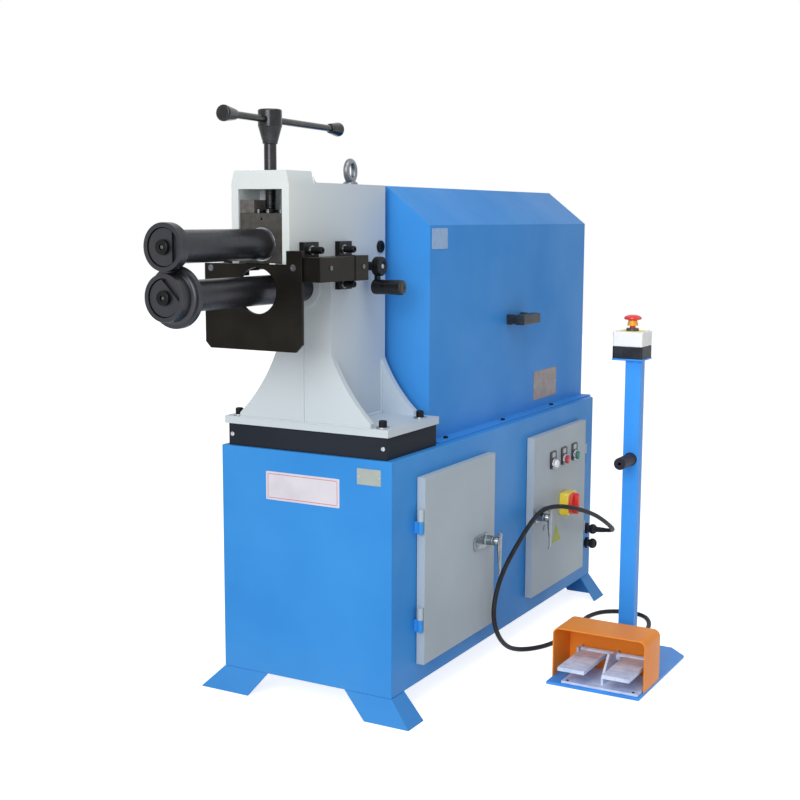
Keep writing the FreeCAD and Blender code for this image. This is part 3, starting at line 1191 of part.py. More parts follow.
def latch(place, run):
    """Fixed plate with boss, and the lever; run is +1 where the plate runs back from the lever."""
    y, z = place
    plate_y = sorted((y - run * (LATCH_BOSS_R + 4), y + run * LATCH_PLATE_L))
    plate = box(door_face, door_face + LATCH_PLATE_T, plate_y[0], plate_y[1],
                z - LATCH_PLATE_H / 2, z + LATCH_PLATE_H / 2)
    plate = plate.fuse(rod_x(y, z, door_face, door_face + LATCH_BOSS_L, LATCH_BOSS_R))
    plate = plate.cut(rod_x(y, z, door_face, door_face + LATCH_BOSS_L, LATCH_SPINDLE_R + FIT))
    x0 = door_face + LATCH_OUT
    lever = box(x0, x0 + LATCH_LEVER_T, y - LATCH_LEVER_W / 2, y + LATCH_LEVER_W / 2,
                z - LATCH_DOWN, z + LATCH_UP)
    lever = lever.fuse(rod_x(y, z, DOOR_X0 - LATCH_TONGUE_BACK, x0, LATCH_SPINDLE_R))
    tongue = box(DOOR_X0 - LATCH_TONGUE_BACK, DOOR_X0 - LATCH_TONGUE_BACK + LATCH_TONGUE_T,
                 y - LATCH_LEVER_W / 2, y + LATCH_LEVER_W / 2, z - LATCH_SPINDLE_R,
                 z + LATCH_TONGUE_UP)
    return plate, lever.fuse(tongue)


plate_1, lever_1 = latch(LATCH1, -1)
plate_2, lever_2 = latch(LATCH2, 1)
door_1 = latch_hole(door_1, LATCH1)
door_2 = latch_hole(door_2, LATCH2)
parts["latch_1_plate"] = plate_1
parts["latch_1_lever"] = lever_1
parts["latch_2_lever"] = lever_2
lock = rod_x(LOCK_Y, LOCK_Z, door_face, door_face + 3, LOCK_R)
lock = lock.cut(box(door_face + 1, door_face + 3, LOCK_Y - 1, LOCK_Y + 1, LOCK_Z - 4, LOCK_Z + 4))
warning = prism([V(door_face, WARN_Y - WARN_SIDE / 2, WARN_Z),
                 V(door_face, WARN_Y + WARN_SIDE / 2, WARN_Z),
                 V(door_face, WARN_Y, WARN_Z + WARN_H)], V(PLATE_T, 0, 0))
parts["latch_2_plate"] = group([plate_2, lock, warning])

# Controls on the rear door: lamp, stop and start buttons, each with a legend holder and a bezel
bezel_z = CONTROL_Z - BUTTON_DROP
bezels = []
for k in range(3):
    control_y = DOOR2_Y0 + CONTROL_FIRST + k * CONTROL_STEP
    x1 = door_face + LEGEND_T
    legend = box(door_face, x1, control_y - LEGEND_W / 2, control_y + LEGEND_W / 2,
                 CONTROL_Z - LEGEND_H / 2 - 2, CONTROL_Z + LEGEND_H / 2 - 2)
    bezel = rod_x(control_y, bezel_z, x1, x1 + BEZEL_T, BEZEL_R)
    hole = rod_x(control_y, bezel_z, DOOR_X0 - 1, x1 + BEZEL_T, BUTTON_STEM_R + FIT)
    seat = rod_x(control_y, bezel_z, x1 + 1.5, x1 + BEZEL_T, BUTTON_R + HOLE_GAP)
    door_2 = door_2.cut(rod_x(control_y, bezel_z, DOOR_X0, door_face, BUTTON_STEM_R + FIT))
    bezels += [legend.cut(hole), bezel.cut(hole).cut(seat)]
    stem_x0 = DOOR_X0 + BUTTON_TRAVEL + 2
    button = rod_x(control_y, bezel_z, x1 + 1.5 + BUTTON_TRAVEL, x1 + BEZEL_T + BUTTON_OUT, BUTTON_R)
    button = button.fuse(rod_x(control_y, bezel_z, stem_x0, x1 + 1.5 + BUTTON_TRAVEL,
                               BUTTON_STEM_R))
    if k == 0:
        bezels.append(button)
    else:
        parts[("red_button", "green_button")[k - 1]] = button
isolator_y1 = ISOLATOR_Y0 + ISOLATOR_L
isolator_z1 = ISOLATOR_Z0 + ISOLATOR_H
isolator_x1 = door_face + ISOLATOR_T
isolator_y = (ISOLATOR_Y0 + isolator_y1) / 2
isolator_z = (ISOLATOR_Z0 + isolator_z1) / 2
isolator_hole = rod_x(isolator_y, isolator_z, DOOR_X0, isolator_x1, BUTTON_STEM_R + FIT)
isolator = box(door_face, isolator_x1, ISOLATOR_Y0, isolator_y1, ISOLATOR_Z0, isolator_z1)
bezels.append(isolator.cut(isolator_hole))
door_2 = door_2.cut(isolator_hole)
knob_x0 = isolator_x1 + SLIDE_GAP
knob = rod_x(isolator_y, isolator_z, knob_x0, knob_x0 + ISOLATOR_KNOB_T, ISOLATOR_KNOB_R)
grip_reach = math.sqrt(ISOLATOR_KNOB_R ** 2 - (ISOLATOR_GRIP_W / 2) ** 2)
knob = knob.fuse(box(knob_x0, knob_x0 + ISOLATOR_KNOB_T + ISOLATOR_GRIP_H,
                     isolator_y - ISOLATOR_GRIP_W / 2, isolator_y + ISOLATOR_GRIP_W / 2,
                     isolator_z - grip_reach, isolator_z + grip_reach))
knob = knob.fuse(rod_x(isolator_y, isolator_z, DOOR_X0 + 2, knob_x0, BUTTON_STEM_R))
parts["isolator_knob"] = knob
parts["control_bezels"] = group(bezels)
parts["door_1"] = door_1
parts["door_2"] = door_2


# Cable glands on the cabinet: the control cable's and the free one for the mains cable
def gland(y, z, bore_r):
    body = rod_x(y, z, cab_half, cab_half + GLAND_NUT_T, GLAND_NUT_R)
    body = body.fuse(rod_x(y, z, cab_half - SHEET - 6, cab_half + GLAND_L, GLAND_R))
    body = body.fuse(rod_x(y, z, cab_half + GLAND_L - 16, cab_half + GLAND_L - 2, GLAND_NUT_R))
    return body.cut(rod_x(y, z, cab_half - SHEET - 6, cab_half + GLAND_L, bore_r))


gland_upper = gland(GLAND_UPPER[0], GLAND_UPPER[1], CABLE_R / 2)
gland_lower = gland(GLAND_LOWER[0], GLAND_LOWER[1], INLET_BORE_R)


# Pressure screw with its hub, the swivel under it and the sliding tommy bar
swivel_z = BLOCK_TOP_Z + SLIDE_GAP
swivel_top = swivel_z + SWIVEL_H
socket_z = swivel_z + 3


def turned_z(x, y, profile):
    """Body of revolution about an upright axis from (radius, z) points."""
    points = [V(x + r, y, z) for r, z in profile]
    face = Part.Face(Part.makePolygon(points + [points[0]]))
    return face.revolve(V(x, y, 0), UP, 360)


parts["screw_swivel"] = turned_z(0, SCREW_Y, [
    (0, swivel_z), (SWIVEL_FLAT_R, swivel_z), (SWIVEL_R, swivel_z + SWIVEL_DOME),
    (SWIVEL_R, swivel_top), (SWIVEL_PIN_R + FIT, swivel_top), (SWIVEL_PIN_R + FIT, socket_z),
    (0, socket_z)])
hub_top = HUB_Z0 + HUB_H
stem_z = pad_top + 2
pressure_screw = turned_z(0, SCREW_Y, [
    (0, socket_z + FIT), (SWIVEL_PIN_R, socket_z + FIT), (SWIVEL_PIN_R, swivel_top + FIT),
    (SCREW_R, swivel_top + FIT), (SCREW_R, stem_z), (STEM_R, stem_z), (STEM_R, STEM_TOP_Z),
    (HUB_R, HUB_Z0), (HUB_R, hub_top - 2), (HUB_R - 2, hub_top), (0, hub_top)])
tommy_turn = math.radians(TOMMY_TURN)
tommy_dir = V(-math.sin(tommy_turn), math.cos(tommy_turn), 0)
tommy_mid = V(0, SCREW_Y, TOMMY_Z)


def along_tommy(t0, t1, r):
    return Part.makeCylinder(r, t1 - t0, tommy_mid + tommy_dir * t0, tommy_dir)


parts["pressure_screw"] = pressure_screw.cut(along_tommy(-HUB_R - 5, HUB_R + 5, TOMMY_R + FIT))
knob_front = Part.makeCone(KNOB_R, KNOB_NECK_R, KNOB_L, tommy_mid - tommy_dir * TOMMY_FRONT,
                           tommy_dir)
knob_rear = Part.makeCone(KNOB_R, KNOB_NECK_R, KNOB_L, tommy_mid + tommy_dir * TOMMY_REAR,
                          tommy_dir * -1)
bar_t0 = -TOMMY_FRONT + KNOB_L / 2
bar_t1 = TOMMY_REAR - KNOB_L / 2
tommy_bar = along_tommy(bar_t0, bar_t1, TOMMY_R)
knob_front = knob_front.cut(along_tommy(bar_t0, 0, TOMMY_R))
knob_rear = knob_rear.cut(along_tommy(0, bar_t1, TOMMY_R))
parts["tommy_bar"] = group([tommy_bar, knob_front, knob_rear])

# Axial shoe in the lower shaft's groove, and the lever with its eccentric pin
shoe = rod_y(0, LOWER_Z, shoe_y0, shoe_y1, SHOE_R)
shoe = shoe.fuse(box(-TONGUE_W / 2, TONGUE_W / 2, shoe_y0, shoe_y1, LOWER_Z, TONGUE_TOP_Z))
shoe = shoe.cut(rod_y(0, LOWER_Z, shoe_y0, shoe_y1, GROOVE_R + SLIDE_GAP))
shoe = shoe.cut(box(-GROOVE_R - SLIDE_GAP, GROOVE_R + SLIDE_GAP, shoe_y0, shoe_y1,
                    LOWER_Z - 2 * SHOE_R, LOWER_Z))
pin_z = LEVER_Z - ECCENTRIC
pin_slot = ECC_PIN_R + ECC_GAP
shoe = shoe.cut(box(-TONGUE_W / 2, TONGUE_W / 2, LEVER_Y - pin_slot, LEVER_Y + pin_slot,
                    pin_z - pin_slot, TONGUE_TOP_Z))
parts["axial_shoe"] = shoe
lever_x0 = TONGUE_W / 2 + 3
lever_hub_x1 = LEVER_HUB_X0 + LEVER_HUB_W
lever = rod_x(LEVER_Y, LEVER_Z, lever_x0, LEVER_HUB_X0, LEVER_SHAFT_R)
lever = lever.fuse(rod_x(LEVER_Y, pin_z, -TONGUE_W / 2, lever_x0, ECC_PIN_R))
lever = lever.fuse(rod_x(LEVER_Y, LEVER_Z, LEVER_HUB_X0, lever_hub_x1, LEVER_HUB_R))
arm_y = LEVER_Y + GRIP_SHIFT_Y / 2
arm = box(LEVER_HUB_X0, LEVER_HUB_X0 + LEVER_ARM_T, arm_y - LEVER_ARM_W / 2,
          arm_y + LEVER_ARM_W / 2, LEVER_Z - LEVER_DROP - LEVER_ARM_W / 2, LEVER_Z)
lever = lever.fuse(arm)
grip_y = LEVER_Y + GRIP_SHIFT_Y
grip = rod_x(grip_y, LEVER_Z - LEVER_DROP, GRIP_X0, GRIP_X0 + GRIP_L, GRIP_R)
grip = grip.makeFillet(4.0, [e for e in grip.Edges if isinstance(e.Curve, Part.Circle)])
parts["axial_lever"] = group([lever, grip.cut(lever)])

# Pedestal: base plate, hollow post with the seat of the station and the peg in front
ped_x0 = PED_X - PED_W / 2
ped_x1 = PED_X + PED_W / 2
ped_y0 = PED_Y - PED_L / 2
ped_y1 = PED_Y + PED_L / 2
ped_plate = prism([V(ped_x0, ped_y0, 0), V(ped_x1, ped_y0, 0), V(ped_x1, ped_y1 - PED_CUT, 0),
                   V(ped_x1 - PED_CUT, ped_y1, 0), V(ped_x0 + PED_CUT, ped_y1, 0),
                   V(ped_x0, ped_y1 - PED_CUT, 0)], V(0, 0, PED_T))
post_x0 = STATION_X0 + (STATION_W - POST_X) / 2 + POST_SHIFT_X
post_x1 = post_x0 + POST_X
post_y1 = POST_FRONT_Y + POST_Y
post_mid = (post_x0 + post_x1) / 2
post = box(post_x0, post_x1, POST_FRONT_Y, post_y1, PED_T, POST_TOP_Z)
seat = box(STATION_X0, STATION_X0 + STATION_W, STATION_Y0, STATION_Y0 + STATION_L, POST_TOP_Z,
           POST_TOP_Z + POST_SEAT_T)
pedestal = ped_plate.fuse([post, seat])
pedestal = pedestal.fuse(rod_y(post_mid, PEG_Z, POST_FRONT_Y - PEG_L, POST_FRONT_Y, PEG_R))
pedestal = pedestal.cut(box(post_x0 + POST_WALL, post_x1 - POST_WALL, POST_FRONT_Y + POST_WALL,
                            post_y1 - POST_WALL, PED_T, POST_TOP_Z + POST_SEAT_T))
pedestal = pedestal.cut(rod_y(post_mid, PEG_Z, POST_FRONT_Y - PEG_L, POST_FRONT_Y - PEG_L + PEG_BORE_L,
                              PEG_BORE_R))
pedestal = pedestal.cut(rod_y(post_mid, POST_GLAND_Z, post_y1 - POST_WALL, post_y1,
                              POST_GLAND_R + HOLE_GAP))
parts["pedestal"] = pedestal

# Emergency stop station on the post
base_z0 = POST_TOP_Z + POST_SEAT_T
base_z1 = base_z0 + STATION_BASE_H
lid_z1 = base_z1 + STATION_LID_H
st_x1 = STATION_X0 + STATION_W
st_y1 = STATION_Y0 + STATION_L
w = STATION_WALL
station_base = box(STATION_X0, st_x1, STATION_Y0, st_y1, base_z0, base_z1)
station_base = station_base.cut(box(STATION_X0 + w, st_x1 - w, STATION_Y0 + w, st_y1 - w,
                                    base_z0 + w, base_z1))
parts["station_base"] = station_base
stop_x = STATION_X0 + STATION_W / 2
stop_y = STATION_Y0 + STATION_L / 2
lid = box(STATION_X0, st_x1, STATION_Y0, st_y1, base_z1, lid_z1)
lid = lid.cut(box(STATION_X0 + w, st_x1 - w, STATION_Y0 + w, st_y1 - w, base_z1, lid_z1 - w))
lid = lid.cut(rod_z(stop_x, stop_y, lid_z1 - w, lid_z1, STOP_STEM_R + FIT))
collar = rod_z(stop_x, stop_y, lid_z1, lid_z1 + COLLAR_H, COLLAR_R)
collar = collar.cut(rod_z(stop_x, stop_y, lid_z1, lid_z1 + COLLAR_H, STOP_STEM_R + FIT))
parts["station_lid"] = group([lid, collar])
neck_z = lid_z1 + COLLAR_H + MUSHROOM_TRAVEL + 1
neck_top = neck_z + STOP_NECK_H
mushroom = turned_z(stop_x, stop_y, [
    (0, base_z1 + 8), (STOP_STEM_R, base_z1 + 8), (STOP_STEM_R, neck_z), (STOP_NECK_R, neck_z),
    (STOP_NECK_R - 3, neck_top), (MUSHROOM_R, neck_top + 2), (MUSHROOM_R, neck_top + 5),
    (MUSHROOM_R - 5, neck_top + MUSHROOM_H), (0, neck_top + MUSHROOM_H)])
parts["mushroom"] = mushroom

# Guard over the pedals: bent plate, open in front, with a back wall


def guard_outline(inset):
    x0 = ped_x0 + inset
    x1 = ped_x1 - inset
    top = PED_T + GUARD_H - inset
    r = GUARD_BEND - inset
    d = r * (1 - math.sqrt(0.5))
    z0 = PED_T
    y = GUARD_Y0
    edges = [Part.makeLine(V(x0, y, z0), V(x0, y, top - r)),
             Part.Arc(V(x0, y, top - r), V(x0 + d, y, top - d), V(x0 + r, y, top)).toShape(),
             Part.makeLine(V(x0 + r, y, top), V(x1 - r, y, top)),
             Part.Arc(V(x1 - r, y, top), V(x1 - d, y, top - d), V(x1, y, top - r)).toShape(),
             Part.makeLine(V(x1, y, top - r), V(x1, y, z0)),
             Part.makeLine(V(x1, y, z0), V(x0, y, z0))]
    return Part.Face(Part.Wire(edges))


guard = guard_outline(0).extrude(V(0, GUARD_L, 0))
guard = guard.cut(guard_outline(GUARD_T).extrude(V(0, GUARD_L - GUARD_T, 0)))
parts["pedal_guard"] = guard

# Pedal unit: floor casting with a divider fin and a cross pin at the rear, and two pedals
pedal_span = 2 * PEDAL_W + PEDAL_GAP
pedal_x0 = PED_X - pedal_span / 2 + PEDAL_SHIFT_X
cast_y1 = PEDAL_FRONT_Y + PEDAL_L + CASTING_BACK_L
cast_y0 = ped_y0 + CASTING_IN
fin_y0 = ped_y0 + FIN_FRONT_Y
pin_y = cast_y1 - CASTING_BACK_L / 2
pedal_pin_z = PEDAL_TOP_Z - PEDAL_T / 2
cast_x0 = pedal_x0 - LUG_W - 2
cast_x1 = pedal_x0 + pedal_span + LUG_W + 2
fin_x0 = pedal_x0 + (pedal_span - FIN_T) / 2
fin_x1 = fin_x0 + FIN_T
casting = box(cast_x0, cast_x1, cast_y0, cast_y1, PED_T, PED_T + CASTING_T)
lugs_top = pedal_pin_z + PEDAL_PIN_R + 5
for x0, x1 in ((cast_x0, cast_x0 + LUG_W), (fin_x0, fin_x1), (cast_x1 - LUG_W, cast_x1)):
    casting = casting.fuse(box(x0, x1, cast_y1 - CASTING_BACK_L, cast_y1, PED_T, lugs_top))
fin = prism([V(fin_x0, fin_y0, PED_T), V(fin_x0, cast_y1, PED_T),
             V(fin_x0, cast_y1, PED_T + CASTING_BACK_H),
             V(fin_x0, ped_y0 + FIN_PEAK_Y, PED_T + FIN_H),
             V(fin_x0, fin_y0, PED_T + FIN_FRONT_H)], V(fin_x1 - fin_x0, 0, 0))
casting = casting.fuse(fin)
casting = casting.cut(rod_x(pin_y, pedal_pin_z, cast_x0, cast_x1, PEDAL_PIN_R + FIT))
pedal_pin = rod_x(pin_y, pedal_pin_z, cast_x0, cast_x1, PEDAL_PIN_R)
parts["pedal_casting"] = group([casting, pedal_pin])
barrel_in = (PEDAL_GAP - FIN_T) / 2 - 1
for name, x0, hub_x0 in (("pedal_left", pedal_x0, pedal_x0),
                         ("pedal_right", pedal_x0 + PEDAL_W + PEDAL_GAP, fin_x1 + 1)):
    plate_end = pin_y - PEDAL_PIN_R - 4
    hub_x1 = hub_x0 + PEDAL_W + barrel_in
    pedal = box(x0, x0 + PEDAL_W, PEDAL_FRONT_Y, plate_end, PEDAL_TOP_Z - PEDAL_T, PEDAL_TOP_Z)
    pedal = pedal.fuse(rod_x(pin_y, pedal_pin_z, hub_x0, hub_x1, PEDAL_PIN_R + 5))
    pedal = pedal.fuse(box(x0, x0 + PEDAL_W, plate_end, pin_y, pedal_pin_z - 4, pedal_pin_z + 4))
    pedal_low = PEDAL_TOP_Z - PEDAL_T
    pedal = pedal.fuse(rod_z(x0 + PEDAL_W / 2, PEDAL_FRONT_Y + PEDAL_L / 2,
                             pedal_low - PEDAL_BOSS_H, pedal_low, PEDAL_BOSS_R))
    pedal = pedal.cut(rod_x(pin_y, pedal_pin_z, hub_x0, hub_x1, PEDAL_PIN_R + FIT))
    parts[name] = pedal

# Control cable from the cabinet's upper gland over the rear door's latch to the pedestal's post
gland_mouth_x = cab_half + GLAND_L
post_gland = rod_y(post_mid, POST_GLAND_Z, post_y1, post_y1 + POST_GLAND_L, POST_GLAND_R + 2)
post_gland = post_gland.fuse(rod_y(post_mid, POST_GLAND_Z, post_y1 - POST_WALL - 4, post_y1,
                                   POST_GLAND_R))
parts["cable_glands"] = group([gland_upper, gland_lower, post_gland])
cable_floor = CABLE_R + SLIDE_GAP
rear_y = GLAND_UPPER[0]
CABLE = [
    (gland_mouth_x, rear_y, GLAND_UPPER[1]), (284, rear_y, 207), (311, rear_y - 16, 213),
    (328, rear_y - 51, 226), (334, rear_y - 98, 247), (334, rear_y - 150, 273),
    (328, rear_y - 204, 299), (318, rear_y - 265, 322), (305, rear_y - 326, 341),
    (282, rear_y - 373, 351), (262, rear_y - 418, 347), (262, rear_y - 474, 333),
    (262, 622, 308), (262, 561, 277),
    (262, 503, 243), (262, 460, 200), (262, 441, 150), (261, 456, 102), (259, 494, 60),
    (258, 543, 27), (264, 589, 9), (286, 616, cable_floor), (307, 650, cable_floor),
    (321, 697, cable_floor), (329, 762, cable_floor), (325, 835, cable_floor),
    (317, 900, cable_floor), (314, 955, cable_floor), (329, 1009, cable_floor),
    (364, 1039, cable_floor), (405, 1049, cable_floor), (449, 1038, cable_floor),
    (480, 992, cable_floor), (497, 930, cable_floor), (504, 870, cable_floor + 4),
    (512, 815, 18), (523, 768, 29), (post_mid, 735, POST_GLAND_Z),
    (post_mid, post_y1 + POST_GLAND_L, POST_GLAND_Z)]


def cord(points, radius):
    """Tube on straight runs joined by tangent arcs; also the route's length and its radii."""
    at = [V(*p) for p in points]
    runs = [(b - a).Length for a, b in zip(at, at[1:])]
    edges = []
    radii = []
    length = 0.0
    begin = at[0]
    for k in range(1, len(at) - 1):
        u = (at[k] - at[k - 1]).normalize()
        w = (at[k + 1] - at[k]).normalize()
        turn = u.getAngle(w)
        cut = 0.45 * min(runs[k - 1], runs[k])
        r = cut / math.tan(turn / 2)
        radii.append(r)
        p = at[k] - u * cut
        q = at[k] + w * cut
        inward = (w - u).normalize()
        middle = at[k] + inward * (r / math.cos(turn / 2) - r)
        edges.append(Part.makeLine(begin, p))
        edges.append(Part.Arc(p, middle, q).toShape())
        length += (p - begin).Length + r * turn
        begin = q
    edges.append(Part.makeLine(begin, at[-1]))
    length += (at[-1] - begin).Length
    path = Part.Wire(edges)
    first = (at[1] - at[0]).normalize()
    section = Part.Wire(Part.makeCircle(radius, at[0], first))
    tube = path.makePipeShell([section], True, False)
    return tube, length, radii, runs


cable, cable_length, cable_radii, cable_runs = cord(CABLE, CABLE_R)
parts["control_cable"] = cable
print("cable length", round(cable_length, 1), "volume share",
      round(cable.Volume / (math.pi * CABLE_R ** 2 * cable_length), 4))
print("cable radii", [round(r) for r in cable_radii])
print("cable runs", [round(r) for r in cable_runs])

# Everything is moved so that the origin lies under the middle of the machine without its cable
extent = FreeCAD.BoundBox()
for name, shape in parts.items():
    if name != "control_cable":
        extent.add(shape.BoundBox)
shift = V(-(extent.XMin + extent.XMax) / 2, -(extent.YMin + extent.YMax) / 2, -extent.ZMin)
os.makedirs("parts", exist_ok=True)
for name, shape in parts.items():
    moved = shape.copy()
    moved.translate(shift)
    moved.exportStep("parts/" + name + ".step")
print("nodes", len(parts), "shift", [round(c, 4) for c in shift])
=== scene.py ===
import math

import bmesh
import bpy
from mathutils import Matrix, Vector


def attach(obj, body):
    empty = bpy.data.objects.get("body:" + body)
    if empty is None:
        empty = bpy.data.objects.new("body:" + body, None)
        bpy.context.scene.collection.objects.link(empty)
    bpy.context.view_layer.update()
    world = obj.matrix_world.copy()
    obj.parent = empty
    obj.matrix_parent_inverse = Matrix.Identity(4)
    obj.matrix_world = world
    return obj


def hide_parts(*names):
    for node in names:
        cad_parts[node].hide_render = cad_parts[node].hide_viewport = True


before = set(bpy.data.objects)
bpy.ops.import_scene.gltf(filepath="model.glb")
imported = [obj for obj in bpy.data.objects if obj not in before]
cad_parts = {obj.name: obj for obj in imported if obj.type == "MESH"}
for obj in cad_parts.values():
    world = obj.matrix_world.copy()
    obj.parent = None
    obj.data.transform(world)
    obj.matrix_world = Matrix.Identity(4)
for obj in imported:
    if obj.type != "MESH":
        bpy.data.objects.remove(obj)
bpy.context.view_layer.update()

# Standpoint of the picture: about three metres off the machine's front right corner, at the height
# of the rolls and looking slightly down, so that the front, the doors and the pedestal all show.
standpoint = bpy.data.objects.new("standpoint", bpy.data.cameras.new("standpoint"))
standpoint.data.lens = 58.86
standpoint.data.sensor_width = 36.0
bpy.context.scene.collection.objects.link(standpoint)
heading, dip, lean = (math.radians(angle) for angle in (29.245, 7.977, 0.222))
ahead = Vector((-math.sin(heading) * math.cos(dip), math.cos(heading) * math.cos(dip),
                -math.sin(dip)))
level = Vector((math.cos(heading), math.sin(heading), 0.0))
above = level.cross(ahead)
axes = (level * math.cos(lean) + above * math.sin(lean),
        above * math.cos(lean) - level * math.sin(lean), -ahead)
standpoint.matrix_world = (Matrix.Translation((1.4039, -2.7683, 1.1097))
                           @ Matrix(axes).transposed().to_4x4())
bpy.context.scene.camera = standpoint
bpy.context.scene.view_settings.view_transform = "Standard"


# Studio: a seamless pale floor, a large soft lamp in front on the right, a smaller one above the
# pedestal and an even white room.
# The floor looks white to the eye and in reflections and keeps only a trace of shadow.
def put(tree, kind, inputs=None, **settings):
    """Adds one node to a tree, with its settings, and sets or links its inputs."""
    node = tree.nodes.new(kind)
    for key, value in settings.items():
        setattr(node, key, value)
    for key, value in (inputs or {}).items():
        if isinstance(value, bpy.types.NodeSocket):
            tree.links.new(value, node.inputs[key])
        else:
            node.inputs[key].default_value = value
    return node


def linear(code):
    """An sRGB hex colour as the linear colour that shaders take."""
    shares = [int(code[k:k + 2], 16) / 255 for k in (0, 2, 4)]
    return tuple(s / 12.92 if s <= 0.04045 else ((s + 0.055) / 1.055) ** 2.4
                 for s in shares) + (1.0,)


def seen_directly(tree):
    """1 for what the camera, a reflection or a clear piece sees, 0 for light on the object."""
    path = put(tree, "ShaderNodeLightPath").outputs
    either = put(tree, "ShaderNodeMath", {0: path["Is Camera Ray"], 1: path["Is Glossy Ray"]},
                 operation="MAXIMUM")
    return put(tree, "ShaderNodeMath", {0: either.outputs[0], 1: path["Is Transmission Ray"]},
               operation="MAXIMUM").outputs[0]


ROOM_LIGHT, PAPER_GLOW = 0.41, 0.78
room = bpy.data.worlds.new("white_room")
room.use_nodes = True
room.node_tree.nodes.clear()
brightness = put(room.node_tree, "ShaderNodeMapRange",
                 {"Value": seen_directly(room.node_tree), "To Min": ROOM_LIGHT, "To Max": 1.0})
walls = put(room.node_tree, "ShaderNodeBackground",
            {"Color": (1.0, 1.0, 1.0, 1.0), "Strength": brightness.outputs[0]})
put(room.node_tree, "ShaderNodeOutputWorld", {"Surface": walls.outputs[0]})
bpy.context.scene.world = room

paper = bpy.data.materials.new("white_studio_paper")
paper.use_nodes = True
paper.node_tree.nodes.clear()
fibre = put(paper.node_tree, "ShaderNodeTexNoise",
            {"Vector": put(paper.node_tree, "ShaderNodeTexCoord").outputs["Object"],
             "Scale": 1000 / 400, "Detail": 2.0})
tint = put(paper.node_tree, "ShaderNodeMix",
           {0: fibre.outputs[0], 6: linear("F2F2F3"), 7: linear("F6F6F5")}, data_type="RGBA")
matte = put(paper.node_tree, "ShaderNodeBsdfDiffuse", {"Color": tint.outputs[2]})
lift = put(paper.node_tree, "ShaderNodeMath",
           {0: seen_directly(paper.node_tree), 1: PAPER_GLOW}, operation="MULTIPLY")
glow = put(paper.node_tree, "ShaderNodeEmission", {"Strength": lift.outputs[0]})
both = put(paper.node_tree, "ShaderNodeAddShader", {0: matte.outputs[0], 1: glow.outputs[0]})
put(paper.node_tree, "ShaderNodeOutputMaterial", {"Surface": both.outputs[0]})
floor_mesh = bpy.data.meshes.new("studio_floor")
FLOOR_HALF, FLOOR_Z = 9.0, -0.0003
floor_mesh.from_pydata([(-FLOOR_HALF, -FLOOR_HALF, FLOOR_Z), (FLOOR_HALF, -FLOOR_HALF, FLOOR_Z),
                        (FLOOR_HALF, FLOOR_HALF, FLOOR_Z), (-FLOOR_HALF, FLOOR_HALF, FLOOR_Z)],
                       [], [(0, 1, 2, 3)])
floor_mesh.materials.append(paper)
studio_floor = bpy.data.objects.new("studio_floor", floor_mesh)
bpy.context.scene.collection.objects.link(studio_floor)


def soft_lamp(name, place, aim, side, power):
    """A square soft box that points at the machine."""
    lamp = bpy.data.objects.new(name, bpy.data.lights.new(name, "AREA"))
    lamp.data.shape = "SQUARE"
    lamp.data.size = side
    lamp.data.energy = power
    direction = Vector(aim) - Vector(place)
    lamp.matrix_world = (Matrix.Translation(place)
                         @ direction.to_track_quat("-Z", "Y").to_matrix().to_4x4())
    bpy.context.scene.collection.objects.link(lamp)


soft_lamp("key_soft_box", (0.8, -4.6, 2.2), (0.0, -0.1, 0.85), 2.6, 122.0)
soft_lamp("top_soft_box", (0.6, -0.6, 2.4), (0.38, -0.1, 0.0), 1.2, 10.0)


# Control cable: 2.0 m of 12 mm rubber-sheathed cable from the cabinet's upper gland over the rear
# door's latch, down to the floor and round behind the pedestal into its post.
RIGHTWARD, UPWARD = (1.0, 0.0, 0.0), (0.0, 0.0, 1.0)
REARWARD, FRONTWARD = (0.0, 1.0, 0.0), (0.0, -1.0, 0.0)
FRONT_MIDDLE_X, FRONT_MIDDLE_Y = -177.5, -380.0


def at(x, y, z):
    """A point of the machine, in mm from the middle of the cabinet's front edge on the floor."""
    return Vector(((x + FRONT_MIDDLE_X) / 1000, (y + FRONT_MIDDLE_Y) / 1000, z / 1000))


def new_finish(name, **inputs):
    """Starts a finish: its tree, its shader and the piece's own coordinates."""
    finish = bpy.data.materials.new(name)
    finish.use_nodes = True
    tree = finish.node_tree
    tree.nodes.clear()
    shader = put(tree, "ShaderNodeBsdfPrincipled",
                 {key.replace("_", " "): value for key, value in inputs.items()})
    put(tree, "ShaderNodeOutputMaterial", {"Surface": shader.outputs[0]})
    return finish, tree, shader, put(tree, "ShaderNodeTexCoord").outputs["Object"]


def clouds(tree, place, size, detail=2.0):
    """Noise with patches of a size in mm."""
    return put(tree, "ShaderNodeTexNoise",
               {"Vector": place, "Scale": 1000 / size, "Detail": detail}).outputs[0]


def spread(tree, value, low, high, start=0.0, end=1.0):
    """Spreads a value that runs from low to high over start to end."""
    return put(tree, "ShaderNodeMapRange", {"Value": value, "From Min": low, "From Max": high,
                                            "To Min": start, "To Max": end}).outputs[0]


def mixed(tree, share, first, second):
    """Mixes two colours, each a hex code or a socket."""
    first, second = (linear(c) if isinstance(c, str) else c for c in (first, second))
    return put(tree, "ShaderNodeMix", {0: share, 6: first, 7: second},
               data_type="RGBA").outputs[2]


def laid_on(finish, tree, shader, tone, height, strength, roughness, under=None, deep=0.0002):
    """Gives a shader its tone, its bumps of a height and its changing roughness."""
    given = {"Height": height, "Strength": strength, "Distance": deep}
    if under:
        given["Normal"] = under
    bumps = put(tree, "ShaderNodeBump", given)
    for output, socket in ((tone, "Base Color"), (bumps.outputs[0], "Normal"),
                           (roughness, "Roughness")):
        tree.links.new(output, shader.inputs[socket])
    return finish


